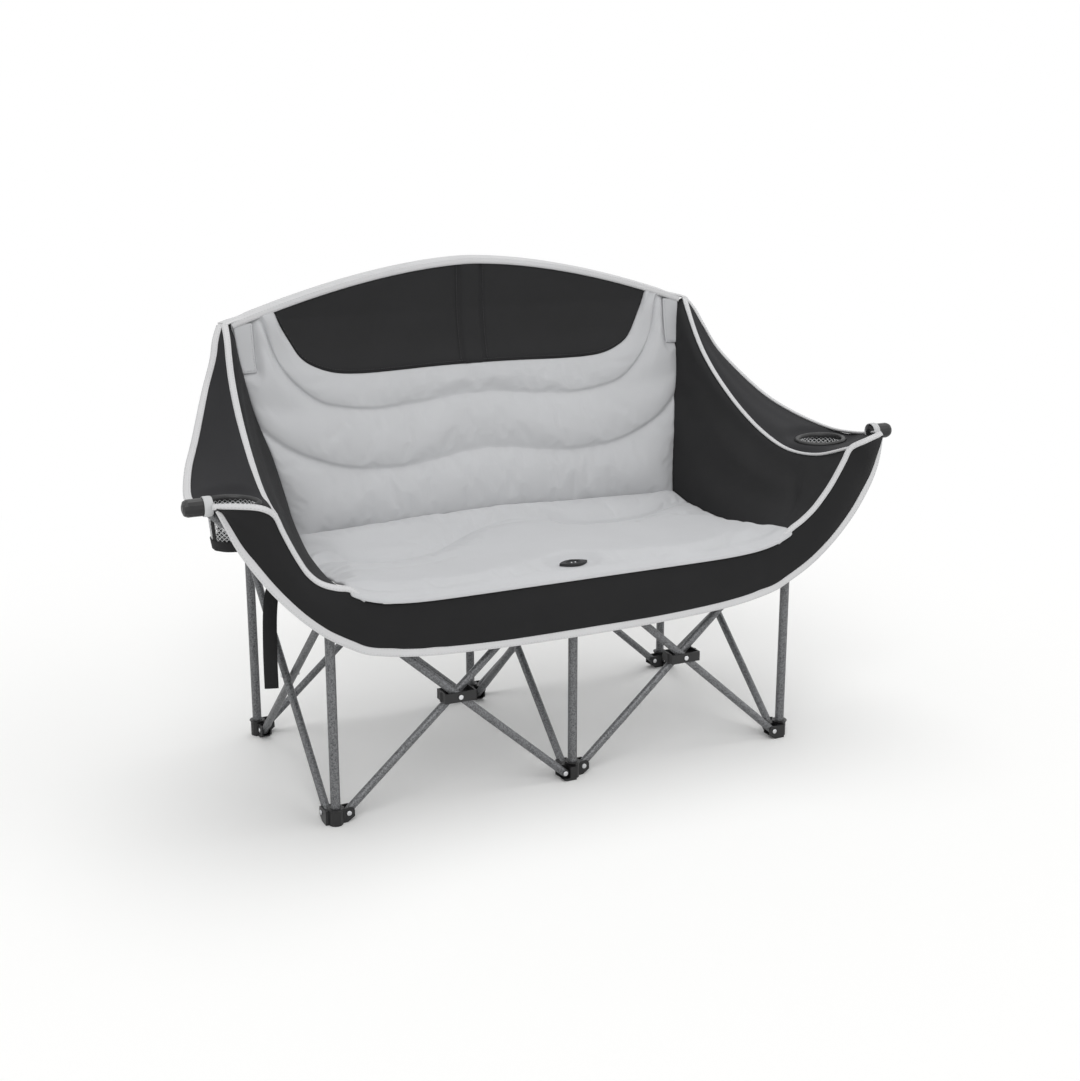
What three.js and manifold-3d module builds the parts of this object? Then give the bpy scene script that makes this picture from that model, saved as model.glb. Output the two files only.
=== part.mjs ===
import * as THREE from 'three';
import { mergeVertices } from 'three/addons/utils/BufferGeometryUtils.js';
import Module from 'manifold-3d';

// Folding two-person camp seat. Lengths are millimetres, X runs across the seat,
// the front faces -Y and Z is up. The six posts are laid out round X = 0 and Y = 0.

// Layout of the frame: six posts in a two by one grid of square bays
const bay = 510;
const pivotInset = 26;
const footPivotHeight = 18;
const hubPivotHeight = 426;
const layerOffset = 9;
const armReach = 735;
const clearance = 0.3;

// Tubes
const tubeDiameter = 16;
const tubeWall = 1.2;
const tubeOverhang = 8;
const postDiameter = 19;
const postWall = 1.2;
const slideDiameter = 15.8;
const slideLength = 246;
const tubeSides = 10;
const postSides = 14;

// Rivets
const rivetDiameter = 5;
const rivetHeadDiameter = 9;
const rivetHeadHeight = 1.6;
const rivetPlay = 0.3;
const spacerDiameter = 12;
const rivetSides = 6;
const boreSides = 6;

// Moulded feet and sliding hubs
const socketWall = 4.2;
const cheekThickness = 3;
const cheekReach = 12;
const footHeight = 29;
const footFloor = 5;
const footToeRise = 10;
const footToeRun = 15;
const footCollarHeight = 5;
const footCollarFlare = 2.4;
const footCorner = 7;
const roundShare = 0.3;
const hubBelowPivot = 28;
const hubShoulder = 2;
const hubAbovePivot = 8;
const hubCheekBelowPivot = 13;
const hubRoof = 3.5;
const hubCorner = 5;

// Upright bracket round each front crossing
const bracketLength = 66;
const bracketHeight = 20;
const bracketWall = 3;
const bracketTabRadius = 5;
const bracketTabReach = 3;

// Arm tips
const tipLength = 54;
const tipDiameter = 32;
const tipRound = 9;
const tipInboard = 10;
const tipLift = 3;

// Seat
const seatHalfWidth = 475;
const seatFront = -300;
const seatBack = 120;
const seatThickness = 15;
const seatCrown = 6;
const seatSag = 16;
const seatSeamDepth = 5;
const seatSeamWidth = 9;
const seatSeamShare = 0.42;
const seatColumns = 20;
const seatRows = 12;
const plateLength = 62;
const plateDepth = 34;
const plateThickness = 5;
const plateRecess = 1.6;
const plateRecessDiameter = 24;

// Backrest
const backHalfWidth = 528;
const backBottomHalfWidth = 475;
const backCornerHeight = 903;
const backMiddleHeight = 1012;
const archExponent = 1.7;
const backPadThickness = 15;
const padEdgeShare = 0.55;
const backChannelDepth = 8;
const backChannelWidth = 16;
const channelShares = [0.33, 0.63];
const channelDipShare = 0.12;
const headHalfWidth = 440;
const headLowerHalfWidth = 330;
const headHeight = 785;
const headEndHeight = 12;
const headThickness = 7;
const coverThickness = 3;
const rearCoverHeight = 640;
const bindingThickness = 5;

// Arms, side panels and front apron
const clothThickness = 3;
const armRearHeight = 890;
const armFrontHeight = 660;
const armFront = -298;
const armInnerRear = 524;
const armOuterRear = 549;
const armInnerTip = 619;
const armOuterTip = 712;
const armSag = 6;
const innerRearBow = 8;
const innerRearShares = [0.36, 0.73];
const innerTipBow = 60;
const innerTipShares = [0.42, 0.91];
const outerRearBow = 55;
const outerRearShares = [0.78, 0.76];
const outerTipBow = 40;
const outerTipShares = [0.2, 0.93];
const outerTipDepthShare = 0.93;
const armBulge = 14;
const armBulgeShares = [0.6, 0.9];
const armColumns = 18;
const sideSlack = 8;
const apronLowHeight = 327;
const apronTopHeight = 451;
const apronTopHalfWidth = 690;
const apronLowHalfWidth = 703;
const apronRiseStart = 430;
const apronTipLow = 634;
const apronFold = 10;
const apronExponent = 5;
const cupSides = 24;
const cupAlongShare = 0.818;
const cupAcrossShare = 0.46;
const cupProud = 2;
const cupRingDiameter = 112;
const cupRingBore = 92;
const cupRingHeight = 26;
const cupDepth = 86;
const cupBottomDiameter = 76;
const cupWall = 2.5;
const cupFloor = 3;
const loopAcross = 697;
const sleeveLength = 20;
const sleeveWall = 2;
const carryStrapWidth = 28;
const carryStrapThickness = 2;
const carryStrapDrop = 245;
const carryStrapOut = 62;
const carryStrapTurnShare = 0.4;

const overrun = 20;

const rise = hubPivotHeight - footPivotHeight;
const run = bay - 2 * pivotInset;
const tilt = Math.atan2(rise, run);
const pivotSpan = Math.hypot(rise, run);
const longLength = (armReach - pivotInset) / Math.cos(tilt);
const tubeRadius = tubeDiameter / 2;
const postRadius = postDiameter / 2;
const slotHalf = tubeRadius + clearance;
const clevisHalf = slotHalf + cheekThickness;
const endReach = Math.hypot(tubeOverhang, tubeRadius);
const slotStart = pivotInset - endReach - clearance;
const clevisReach = pivotInset + cheekReach;
const socketRadius = postRadius + clearance + socketWall;
const frontRow = -bay / 2;
const backRow = bay / 2;

const wasm = await Module();
wasm.setup();

const loveseat = new THREE.Group();

const materials = {
  tube: new THREE.MeshStandardMaterial({ color: 0x626364, roughness: 0.55, metalness: 0.6 }),
  slide: new THREE.MeshStandardMaterial({ color: 0x8b8d8f, roughness: 0.4, metalness: 0.8 }),
  plastic: new THREE.MeshStandardMaterial({ color: 0x1c1c1c, roughness: 0.6, metalness: 0 }),
  greyCloth: new THREE.MeshStandardMaterial({ color: 0xbdbec0, roughness: 0.9, metalness: 0 }),
  blackCloth: new THREE.MeshStandardMaterial({ color: 0x303031, roughness: 0.9, metalness: 0 }),
  greyMesh: new THREE.MeshStandardMaterial({ color: 0xa5a7a9, roughness: 0.9, metalness: 0 }),
  webbing: new THREE.MeshStandardMaterial({ color: 0x222222, roughness: 0.95, metalness: 0 }),
  greyWebbing: new THREE.MeshStandardMaterial({ color: 0xb4b5b7, roughness: 0.95, metalness: 0 }),
};

// Solids and meshes

function solidOf(geometry) {
  const bare = geometry.clone();
  bare.deleteAttribute('normal');
  bare.deleteAttribute('uv');
  const merged = mergeVertices(bare, 1e-4);
  const mesh = new wasm.Mesh({
    numProp: 3,
    vertProperties: new Float32Array(merged.attributes.position.array),
    triVerts: new Uint32Array(merged.index.array),
  });
  return new wasm.Manifold(mesh);
}

function geometryOf(solid) {
  const mesh = solid.getMesh();
  const geometry = new THREE.BufferGeometry();
  geometry.setAttribute('position', new THREE.BufferAttribute(new Float32Array(mesh.vertProperties), 3));
  geometry.setIndex(new THREE.BufferAttribute(new Uint32Array(mesh.triVerts), 1));
  geometry.computeVertexNormals();
  return geometry;
}

function place(name, geometry, material, position = [0, 0, 0], turn = [0, 0, 0]) {
  const mesh = new THREE.Mesh(geometry, material);
  mesh.name = name;
  mesh.position.set(...position);
  mesh.rotation.set(...turn);
  loveseat.add(mesh);
  return mesh;
}

function revolve(profile, sides) {
  const points = profile.map(([radius, height]) => new THREE.Vector2(radius, height));
  const geometry = new THREE.LatheGeometry(points, sides);
  return geometry.rotateX(Math.PI / 2);
}

function rod(radius, length, sides) {
  return revolve([[0, 0], [radius, 0], [radius, length], [0, length]], sides);
}

function pipe(radius, bore, length, sides) {
  return revolve([[bore, 0], [radius, 0], [radius, length], [bore, length], [bore, 0]], sides);
}

function block(size, centre) {
  return new THREE.BoxGeometry(...size).translate(...centre);
}

// A rivet lies along Z: a head at each end of its grip, and any spacers between
function rivetSolid(grip, spacers = []) {
  const shank = rivetDiameter / 2;
  const head = rivetHeadDiameter / 2;
  const profile = [[0, -rivetHeadHeight], [head, -rivetHeadHeight], [head, 0], [shank, 0]];
  for (const [start, end] of spacers) {
    profile.push([shank, start], [spacerDiameter / 2, start], [spacerDiameter / 2, end], [shank, end]);
  }
  profile.push([shank, grip], [head, grip], [head, grip + rivetHeadHeight], [0, grip + rivetHeadHeight]);
  return solidOf(revolve(profile, rivetSides));
}

// The six posts

const columns = [
  { side: 'left', x: -bay },
  { side: 'middle', x: 0 },
  { side: 'right', x: bay },
];
const rows = [
  { row: 'front', y: frontRow },
  { row: 'back', y: backRow },
];
const posts = {};
for (const { row, y } of rows) {
  for (const { side, x } of columns) {
    posts[`${row}_${side}`] = { name: `${row}_${side}`, row, x, y, feet: [], hubs: [] };
  }
}

// Every bay has two crossing tubes: the first stands at the post called near
const bays = [
  { name: 'front_left', near: 'front_middle', far: 'front_left', offset: -layerOffset, front: true },
  { name: 'front_right', near: 'front_middle', far: 'front_right', offset: layerOffset, front: true },
  { name: 'back_left', near: 'back_middle', far: 'back_left', offset: -layerOffset },
  { name: 'back_right', near: 'back_middle', far: 'back_right', offset: layerOffset },
  { name: 'left_side', near: 'front_left', far: 'back_left', offset: -layerOffset },
  { name: 'middle', near: 'front_middle', far: 'back_middle', offset: -layerOffset },
  { name: 'right_side', near: 'front_right', far: 'back_right', offset: -layerOffset },
];

const crossTubes = [];
for (const one of bays) {
  const names = one.front ? ['long_diagonal', 'short_diagonal'] : ['cross_tube_a', 'cross_tube_b'];
  const ends = [[one.near, one.far, one.offset], [one.far, one.near, -one.offset]];
  ends.forEach(([from, to, offset], index) => {
    const low = posts[from];
    const high = posts[to];
    const along = new THREE.Vector2(high.x - low.x, high.y - low.y).normalize();
    const yaw = Math.atan2(along.y, along.x);
    const sideways = along.x === 0 ? -offset * along.y : offset * along.x;
    const open = one.name === 'front_left' && index === 0;
    crossTubes.push({
      name: `${one.name}_${names[index]}`, bay: one, first: index === 0, low, yaw, sideways,
      length: one.front && index === 0 ? longLength : pivotSpan,
    });
    low.feet.push({ yaw, sideways, open });
    high.hubs.push({ yaw: yaw + Math.PI, sideways: -sideways });
  });
}

// Crossing tubes: bored for the rivets at both pivots and at the crossing

function crossTubeSolid(tube) {
  const end = tube.length === pivotSpan ? tubeOverhang : 0;
  const whole = tubeOverhang + tube.length + end;
  const outer = pipe(tubeRadius, tubeRadius - tubeWall, whole, tubeSides).translate(0, 0, -tubeOverhang);
  let solid = solidOf(outer.rotateY(Math.PI / 2));
  const boreRadius = (rivetDiameter / 2 + rivetPlay) / Math.cos(Math.PI / boreSides);
  const boreLength = tubeDiameter + overrun;
  const bores = [0, pivotSpan];
  const gripsPartner = tube.first && !tube.bay.front;
  if (!gripsPartner) {
    bores.push(pivotSpan / 2);
  }
  for (const distance of bores) {
    const bore = rod(boreRadius, boreLength, boreSides).translate(0, 0, -boreLength / 2);
    solid = solid.subtract(solidOf(bore.rotateX(Math.PI / 2).translate(distance, 0, 0)));
  }
  if (gripsPartner) {
    const towards = -Math.sign(tube.sideways);
    const gap = 2 * layerOffset - tubeDiameter;
    const grip = 2 * tubeDiameter + gap;
    const spacer = [tubeDiameter - tubeWall / 2 - clearance, tubeDiameter + gap - 2 * clearance];
    const rivet = rivetSolid(grip, [spacer]).translate([0, 0, clearance - tubeRadius]);
    const turned = rivet.rotate([-90 * towards, 0, 0]).translate([pivotSpan / 2, 0, 0]);
    solid = solid.add(turned);
  }
  return solid;
}

for (const tube of crossTubes) {
  const carrier = new THREE.Group();
  carrier.position.set(tube.low.x, tube.low.y, footPivotHeight);
  carrier.rotation.z = tube.yaw;
  const mesh = new THREE.Mesh(geometryOf(crossTubeSolid(tube)), materials.tube);
  mesh.name = tube.name;
  mesh.position.set(pivotInset, tube.sideways, 0);
  mesh.rotation.y = -tilt;
  carrier.add(mesh);
  loveseat.add(carrier);
}

// Clevises: two cheeks joined by a web, which carry one tube end beside the post

function clevisBlock(arm, outline) {
  const shape = new THREE.Shape(outline.map(([x, y]) => new THREE.Vector2(x, y)));
  const geometry = new THREE.ExtrudeGeometry(shape, { depth: 2 * clevisHalf, bevelEnabled: false });
  geometry.rotateX(Math.PI / 2).translate(0, arm.sideways + clevisHalf, 0).rotateZ(arm.yaw);
  return solidOf(geometry);
}

function clevisSlot(arm, floor, top) {
  const length = clevisReach + overrun - slotStart;
  const size = [length, 2 * slotHalf, top - floor];
  const slot = block(size, [slotStart + length / 2, arm.sideways, (top + floor) / 2]);
  return solidOf(slot.rotateZ(arm.yaw));
}

function clevisRivet(arm, height) {
  const start = arm.open ? -slotHalf : -clevisHalf;
  const rivet = rivetSolid(clevisHalf - start).translate([0, 0, start]);
  return rivet.rotate([90, 0, 0])
    .translate([pivotInset, arm.sideways, height])
    .rotate([0, 0, THREE.MathUtils.radToDeg(arm.yaw)]);
}

function bevelled(reach, low, high, corner) {
  const cut = corner * roundShare;
  return [[reach, high - corner], [reach - cut, high - cut], [reach - corner, high]];
}

function footSolid(post) {
  const outline = [
    [0, 0], [clevisReach - footToeRun, 0], [clevisReach, footToeRise],
    ...bevelled(clevisReach, footToeRise, footHeight, footCorner), [0, footHeight],
  ];
  const flareRadius = socketRadius + footCollarFlare;
  const collarTop = footHeight + footCollarHeight;
  let solid = solidOf(revolve([
    [0, 0], [socketRadius, 0], [socketRadius, footHeight], [flareRadius, collarTop - footCollarFlare / 2],
    [flareRadius, collarTop], [0, collarTop],
  ], postSides));
  for (const arm of post.feet) {
    solid = solid.add(clevisBlock(arm, outline));
  }
  const bore = rod(postRadius + clearance, footHeight + overrun, postSides).translate(0, 0, footFloor);
  solid = solid.subtract(solidOf(bore));
  for (const arm of post.feet) {
    solid = solid.subtract(clevisSlot(arm, footFloor, footHeight + overrun));
    if (arm.open) {
      const length = clevisReach + overrun - slotStart;
      const depth = cheekThickness + overrun;
      const height = footHeight + overrun;
      const outside = arm.sideways + slotHalf + depth / 2;
      const cut = block([length, depth, height], [slotStart + length / 2, outside, footFloor + height / 2]);
      solid = solid.subtract(solidOf(cut.rotateZ(arm.yaw)));
    }
  }
  for (const arm of post.feet) {
    solid = solid.add(clevisRivet(arm, footPivotHeight));
  }
  return solid;
}

for (const post of Object.values(posts)) {
  place(`${post.name}_foot`, geometryOf(footSolid(post)), materials.plastic, [post.x, post.y, 0]);
}

// Sliding hubs: the front ones carry an inner tube, the back ones ride on the long posts

const hubBottom = hubPivotHeight - hubBelowPivot;
const hubTop = hubPivotHeight - hubShoulder;

function hubSolid(post) {
  const low = hubPivotHeight - hubCheekBelowPivot;
  const high = hubPivotHeight + hubAbovePivot;
  const outline = [
    [0, low], [clevisReach - hubCorner, low], [clevisReach, low + hubCorner],
    ...bevelled(clevisReach, low, high, hubCorner),
    [slotStart + clearance, high], [slotStart, hubTop], [0, hubTop],
  ];
  let solid = solidOf(rod(socketRadius, hubTop - hubBottom, postSides).translate(0, 0, hubBottom));
  for (const arm of post.hubs) {
    solid = solid.add(clevisBlock(arm, outline));
  }
  const isFront = post.row === 'front';
  const boreRadius = (isFront ? slideDiameter / 2 : postRadius) + clearance;
  const boreTop = isFront ? hubTop - hubRoof : hubTop + overrun;
  const boreBottom = hubBottom - overrun;
  const bore = rod(boreRadius, boreTop - boreBottom, postSides).translate(0, 0, boreBottom);
  solid = solid.subtract(solidOf(bore));
  for (const arm of post.hubs) {
    solid = solid.subtract(clevisSlot(arm, low - overrun, high + overrun));
  }
  for (const arm of post.hubs) {
    solid = solid.add(clevisRivet(arm, hubPivotHeight));
  }
  return solid;
}

for (const post of Object.values(posts)) {
  place(`${post.name}_hub`, geometryOf(hubSolid(post)), materials.plastic, [post.x, post.y, 0]);
}

// Backrest outline: an arched top between the two corners

function backTop(x) {
  const share = Math.min(1, Math.abs(x) / backHalfWidth);
  return backMiddleHeight - (backMiddleHeight - backCornerHeight) * share ** archExponent;
}

// Posts: short hollow ones in front, long ones behind that hold up the backrest

const legStart = footFloor + clearance;
for (const post of Object.values(posts)) {
  const isFront = post.row === 'front';
  const arch = backTop(Math.abs(post.x) + postRadius) - bindingThickness;
  const top = isFront ? hubBottom - clearance : arch - clearance;
  const tube = pipe(postRadius, postRadius - postWall, top - legStart, postSides);
  const name = isFront ? `${post.name}_leg` : `${post.name}_post`;
  place(name, tube, materials.tube, [post.x, post.y, legStart]);
  if (isFront) {
    const slideTop = hubTop - hubRoof - clearance;
    const slide = pipe(slideDiameter / 2, slideDiameter / 2 - postWall, slideLength, tubeSides);
    place(`${post.name}_slide_tube`, slide, materials.slide, [post.x, post.y, slideTop - slideLength]);
  }
}

// Front crossing brackets: an open ring round both tubes with the crossing rivet

function bracketSolid() {
  const depth = 2 * (layerOffset + tubeRadius + clearance + bracketWall);
  const inner = [bracketLength - 2 * bracketWall, depth - 2 * bracketWall, bracketHeight + overrun];
  let solid = solidOf(block([bracketLength, depth, bracketHeight], [0, 0, 0]));
  for (const side of [-1, 1]) {
    const tab = rod(bracketTabRadius, bracketHeight, tubeSides);
    const centre = side * (bracketLength / 2 - bracketTabRadius + bracketTabReach);
    solid = solid.add(solidOf(tab.translate(centre, 0, -bracketHeight / 2)));
  }
  solid = solid.subtract(solidOf(block(inner, [0, 0, 0])));
  const middle = depth / 2;
  const halfSpacer = layerOffset - tubeRadius - clearance;
  const rivet = rivetSolid(depth, [[middle - halfSpacer, middle + halfSpacer]]);
  return solid.add(rivet.translate([0, 0, -depth / 2]).rotate([90, 0, 0]));
}

const crossingHeight = footPivotHeight + rise / 2;
for (const side of [-1, 1]) {
  const name = side < 0 ? 'front_left_crossing_bracket' : 'front_right_crossing_bracket';
  place(name, geometryOf(bracketSolid()), materials.plastic, [side * bay / 2, frontRow, crossingHeight]);
}

// Arm tip caps: barrels that close the upper ends of the long diagonals

const tipX = pivotInset + longLength * Math.cos(tilt);
const tipZ = footPivotHeight + longLength * Math.sin(tilt);

function tipSolid(side) {
  const half = tipLength / 2;
  const radius = tipDiameter / 2;
  const cut = tipRound * roundShare;
  const slope = radius - cut;
  let solid = solidOf(revolve([
    [0, -half], [radius - tipRound, -half], [slope, cut - half], [radius, tipRound - half],
    [radius, half - tipRound], [slope, half - cut], [radius - tipRound, half], [0, half],
  ], postSides).rotateY(Math.PI / 2));
  const bore = rod(tubeRadius + clearance, tipLength + overrun, tubeSides);
  bore.rotateY(Math.atan2(-side * Math.cos(tilt), -Math.sin(tilt)));
  const shift = [
    side * (clearance * Math.cos(tilt) - tipInboard), 0, clearance * Math.sin(tilt) - tipLift,
  ];
  solid = solid.subtract(solidOf(bore).translate(shift));
  return solid;
}

const longOffset = { [-1]: -layerOffset, [1]: layerOffset };
for (const side of [-1, 1]) {
  const name = side < 0 ? 'left_arm_tip_cap' : 'right_arm_tip_cap';
  const centre = [side * (tipX + tipInboard), frontRow + longOffset[side], tipZ + tipLift];
  place(name, geometryOf(tipSolid(side)), materials.plastic, centre);
}

// Cloth: a closed sheet between a front and a back surface, given as functions of two shares

function sheetGeometry(frontAt, backAt, columnsCount, rowsCount) {
  const positions = [];
  for (const surface of [frontAt, backAt]) {
    for (let row = 0; row <= rowsCount; row += 1) {
      for (let column = 0; column <= columnsCount; column += 1) {
        positions.push(...surface(column / columnsCount, row / rowsCount));
      }
    }
  }
  const wide = columnsCount + 1;
  const layer = wide * (rowsCount + 1);
  const index = [];
  const quad = (a, b, c, d) => index.push(a, b, c, a, c, d);
  for (let row = 0; row < rowsCount; row += 1) {
    for (let column = 0; column < columnsCount; column += 1) {
      const a = row * wide + column;
      quad(a, a + 1, a + 1 + wide, a + wide);
      quad(layer + a, layer + a + wide, layer + a + wide + 1, layer + a + 1);
    }
  }
  for (let column = 0; column < columnsCount; column += 1) {
    const top = rowsCount * wide + column;
    quad(column, layer + column, layer + column + 1, column + 1);
    quad(top, top + 1, layer + top + 1, layer + top);
  }
  for (let row = 0; row < rowsCount; row += 1) {
    const left = row * wide;
    const right = left + columnsCount;
    quad(left, left + wide, layer + left + wide, layer + left);
    quad(right, layer + right, layer + right + wide, right + wide);
  }
  const geometry = new THREE.BufferGeometry();
  geometry.setAttribute('position', new THREE.BufferAttribute(new Float32Array(positions), 3));
  geometry.setIndex(index);
  geometry.computeVertexNormals();
  return geometry;
}

const lerp = THREE.MathUtils.lerp;
const smooth = (value, low, high) => THREE.MathUtils.smoothstep(value, low, high);

// A sewn line pulls the padding down along it
function groove(distance, width, depth) {
  return depth * Math.max(0, 1 - (distance / width) ** 2);
}

// Padding thins out towards its edges
function swell(u, v) {
  const across = 1 - (2 * u - 1) ** 8;
  const along = 1 - (2 * v - 1) ** 6;
  return Math.min(across, along);
}

// Seat pad: crowned, sagging a little between the hubs, with one seam across

const seatUnderside = hubPivotHeight + endReach + clearance;
function seatLevel(x, v) {
  const acrossShare = Math.sin(Math.PI * x / bay) ** 2;
  const alongShare = Math.sin(Math.PI * v) ** 2;
  return seatUnderside - seatSag * acrossShare * alongShare;
}

function seatSurface(isUpper) {
  return (u, v) => {
    const x = lerp(-seatHalfWidth, seatHalfWidth, u);
    const y = lerp(seatFront, seatBack, v);
    const seam = groove((v - seatSeamShare) * (seatBack - seatFront), seatSeamWidth, seatSeamDepth);
    const padding = seatThickness - seatCrown + seatCrown * swell(u, v) - seam;
    return [x, y, seatLevel(x, v) + (isUpper ? padding : 0)];
  };
}

const seatPad = sheetGeometry(seatSurface(true), seatSurface(false), seatColumns, seatRows);
place('seat_pad', seatPad, materials.greyCloth);

// Lens-shaped plate that clamps the seat cloth to the front middle hub

function plateSolid() {
  const half = plateLength / 2;
  const bulge = plateDepth / 2;
  const shape = new THREE.Shape();
  shape.moveTo(-half, 0);
  shape.quadraticCurveTo(-half / 2, -bulge, 0, -bulge);
  shape.quadraticCurveTo(half / 2, -bulge, half, 0);
  shape.quadraticCurveTo(half / 2, bulge, 0, bulge);
  shape.quadraticCurveTo(-half / 2, bulge, -half, 0);
  const options = { depth: plateThickness, bevelEnabled: false, curveSegments: 5 };
  const plate = new THREE.ExtrudeGeometry(shape, options);
  const recess = rod(plateRecessDiameter / 2, overrun, postSides);
  return solidOf(plate).subtract(solidOf(recess).translate([0, 0, plateThickness - plateRecess]));
}

const plateShare = (frontRow + plateDepth / 2 - seatFront) / (seatBack - seatFront);
const plateBase = seatSurface(true)(0.5, plateShare)[2] + clearance;
place('seat_clamp_plate', geometryOf(plateSolid()), materials.plastic, [0, frontRow, plateBase]);

// Backrest: straight lines rise from its bottom edge to the arched top, which lies on the posts

const backTopDepth = backRow - postRadius - clearance;
const backLeanStart = seatBack + clearance + backPadThickness * padEdgeShare;
const backBottomHeight = seatUnderside;
const headShare = headHalfWidth / backHalfWidth;
const outerColumns = 2;
const innerColumns = 20;
const backColumns = 2 * outerColumns + innerColumns;
const backRows = 15;
const headRows = 3;

// Columns of all backrest layers fall on the corners of the head panel
function columnShare(u) {
  const column = u * backColumns;
  if (column < outerColumns) {
    return lerp(-1, -headShare, column / outerColumns);
  }
  if (column > outerColumns + innerColumns) {
    return lerp(headShare, 1, (column - outerColumns - innerColumns) / outerColumns);
  }
  return lerp(-headShare, headShare, (column - outerColumns) / innerColumns);
}

function backPoint(middle, climb, forward) {
  const x = middle * lerp(backBottomHalfWidth, backHalfWidth, climb);
  const y = lerp(backLeanStart, backTopDepth, climb) - forward;
  const z = lerp(backBottomHeight, backTop(middle * backHalfWidth) - clearance, climb);
  return [x, y, z];
}

// The dark head panel ends below in a wide curve; the grey pad fills the rest
function headEdgeShare(middle) {
  const across = Math.abs(middle) * backHalfWidth;
  const top = backTop(across);
  if (across > headHalfWidth + clearance) {
    return beyondTop;
  }
  const share = smooth(across, headLowerHalfWidth, headHalfWidth);
  const edge = lerp(headHeight, top - headEndHeight, share);
  return (edge - backBottomHeight) / (top - backBottomHeight);
}

const beyondTop = 2;
const seamGapShare = clearance / (backMiddleHeight - backBottomHeight);

function padSurface(isFront) {
  return (u, v) => {
    const middle = columnShare(u);
    const end = Math.min(1, headEdgeShare(middle) - seamGapShare);
    const climb = v * end;
    const bend = channelDipShare * middle * middle;
    let seam = 0;
    for (const share of channelShares) {
      const distance = (climb - share - bend) * (backCornerHeight - backBottomHeight);
      seam = Math.max(seam, groove(distance, backChannelWidth, backChannelDepth));
    }
    const padding = backPadThickness * lerp(padEdgeShare, 1, swell(u, v)) - seam;
    return backPoint(middle, climb, isFront ? padding : 0);
  };
}

const backPad = sheetGeometry(padSurface(true), padSurface(false), backColumns, backRows);
place('back_pad', backPad, materials.greyCloth);

function headSurface(isFront) {
  return (u, v) => {
    const middle = lerp(-headShare, headShare, u);
    const climb = lerp(headEdgeShare(middle) + seamGapShare, 1, v);
    return backPoint(middle, climb, isFront ? headThickness : 0);
  };
}

const headPanel = sheetGeometry(headSurface(true), headSurface(false), innerColumns, headRows);
place('head_panel', headPanel, materials.blackCloth);

// Rear cover behind the posts, and the binding that closes the top and rests on them

const rearCoverFront = backRow + postRadius + clearance;

function rearSurface(isFront) {
  return (u, v) => {
    const x = columnShare(u) * backHalfWidth;
    const z = lerp(rearCoverHeight, backTop(x) - bindingThickness - clearance, v);
    return [x, isFront ? rearCoverFront : rearCoverFront + coverThickness, z];
  };
}

const rearCover = sheetGeometry(rearSurface(true), rearSurface(false), backColumns, 1);
place('rear_cover', rearCover, materials.blackCloth);

function bindingSurface(isUpper) {
  return (u, v) => {
    const x = columnShare(u) * backHalfWidth;
    const y = lerp(backTopDepth + clearance, rearCoverFront + coverThickness, v);
    return [x, y, backTop(x) - (isUpper ? 0 : bindingThickness)];
  };
}

const binding = sheetGeometry(bindingSurface(true), bindingSurface(false), backColumns, 1);
place('back_top_binding', binding, materials.greyWebbing);

// Arms: each is spanned between an inner and an outer piping that fall from the backrest to the tip

const armRearDepth = backTopDepth - clearance - backPadThickness;

const innerPiping = new THREE.CubicBezierCurve3(
  new THREE.Vector3(armInnerRear, armRearDepth, armRearHeight),
  new THREE.Vector3(
    armInnerRear + innerRearBow, innerRearShares[0] * armRearDepth, innerRearShares[1] * armRearHeight,
  ),
  new THREE.Vector3(
    armInnerTip - innerTipBow, innerTipShares[0] * armFront, innerTipShares[1] * armFrontHeight,
  ),
  new THREE.Vector3(armInnerTip, armFront, armFrontHeight),
);
const outerPiping = new THREE.CubicBezierCurve3(
  new THREE.Vector3(armOuterRear, armRearDepth, armRearHeight),
  new THREE.Vector3(
    armOuterRear + outerRearBow, outerRearShares[0] * armRearDepth, outerRearShares[1] * armRearHeight,
  ),
  new THREE.Vector3(
    armOuterTip + outerTipBow, outerTipShares[0] * armFront, outerTipShares[1] * armFrontHeight,
  ),
  new THREE.Vector3(armOuterTip, outerTipDepthShare * armFront, armFrontHeight),
);

function mirrored(side, [x, y, z]) {
  return [side * x, y, z];
}

function armPoint(share, v) {
  const point = innerPiping.getPoint(share).lerp(outerPiping.getPoint(share), v);
  point.z -= armSag * Math.sin(Math.PI * v) * Math.sin(Math.PI * share);
  return point;
}

function armSurface(side, isUpper) {
  return (u, v) => {
    const point = armPoint(side < 0 ? 1 - u : u, v);
    return mirrored(side, [point.x, point.y, point.z + (isUpper ? clothThickness : 0)]);
  };
}

const cup = armPoint(cupAlongShare, cupAcrossShare);
const cupRingBase = cup.z + clothThickness + cupProud - cupRingHeight;

function armTopSolid(side) {
  let solid = solidOf(sheetGeometry(armSurface(side, true), armSurface(side, false), armColumns, 4));
  const hole = rod(cupRingDiameter / 2 + clearance, armRearHeight, cupSides);
  solid = solid.subtract(solidOf(hole).translate([side * cup.x, cup.y, 0]));
  return solid;
}

// Side panels hang from the inner piping to the edge of the seat

function sidePoint(share, v, lift) {
  const top = innerPiping.getPoint(share);
  top.z -= clearance;
  const bottom = new THREE.Vector3(
    seatHalfWidth + clearance + clothThickness, lerp(seatBack, seatFront, share), seatUnderside,
  );
  const point = bottom.lerp(top, v);
  const slack = sideSlack * Math.sin(Math.PI * v) * Math.sin(Math.PI * share);
  return [point.x + slack - lift * clothThickness, point.y, point.z];
}

function sideSurface(side, isInner) {
  return (u, v) => {
    const share = side < 0 ? 1 - u : u;
    return mirrored(side, sidePoint(share, v, isInner ? 1 : 0));
  };
}

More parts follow.
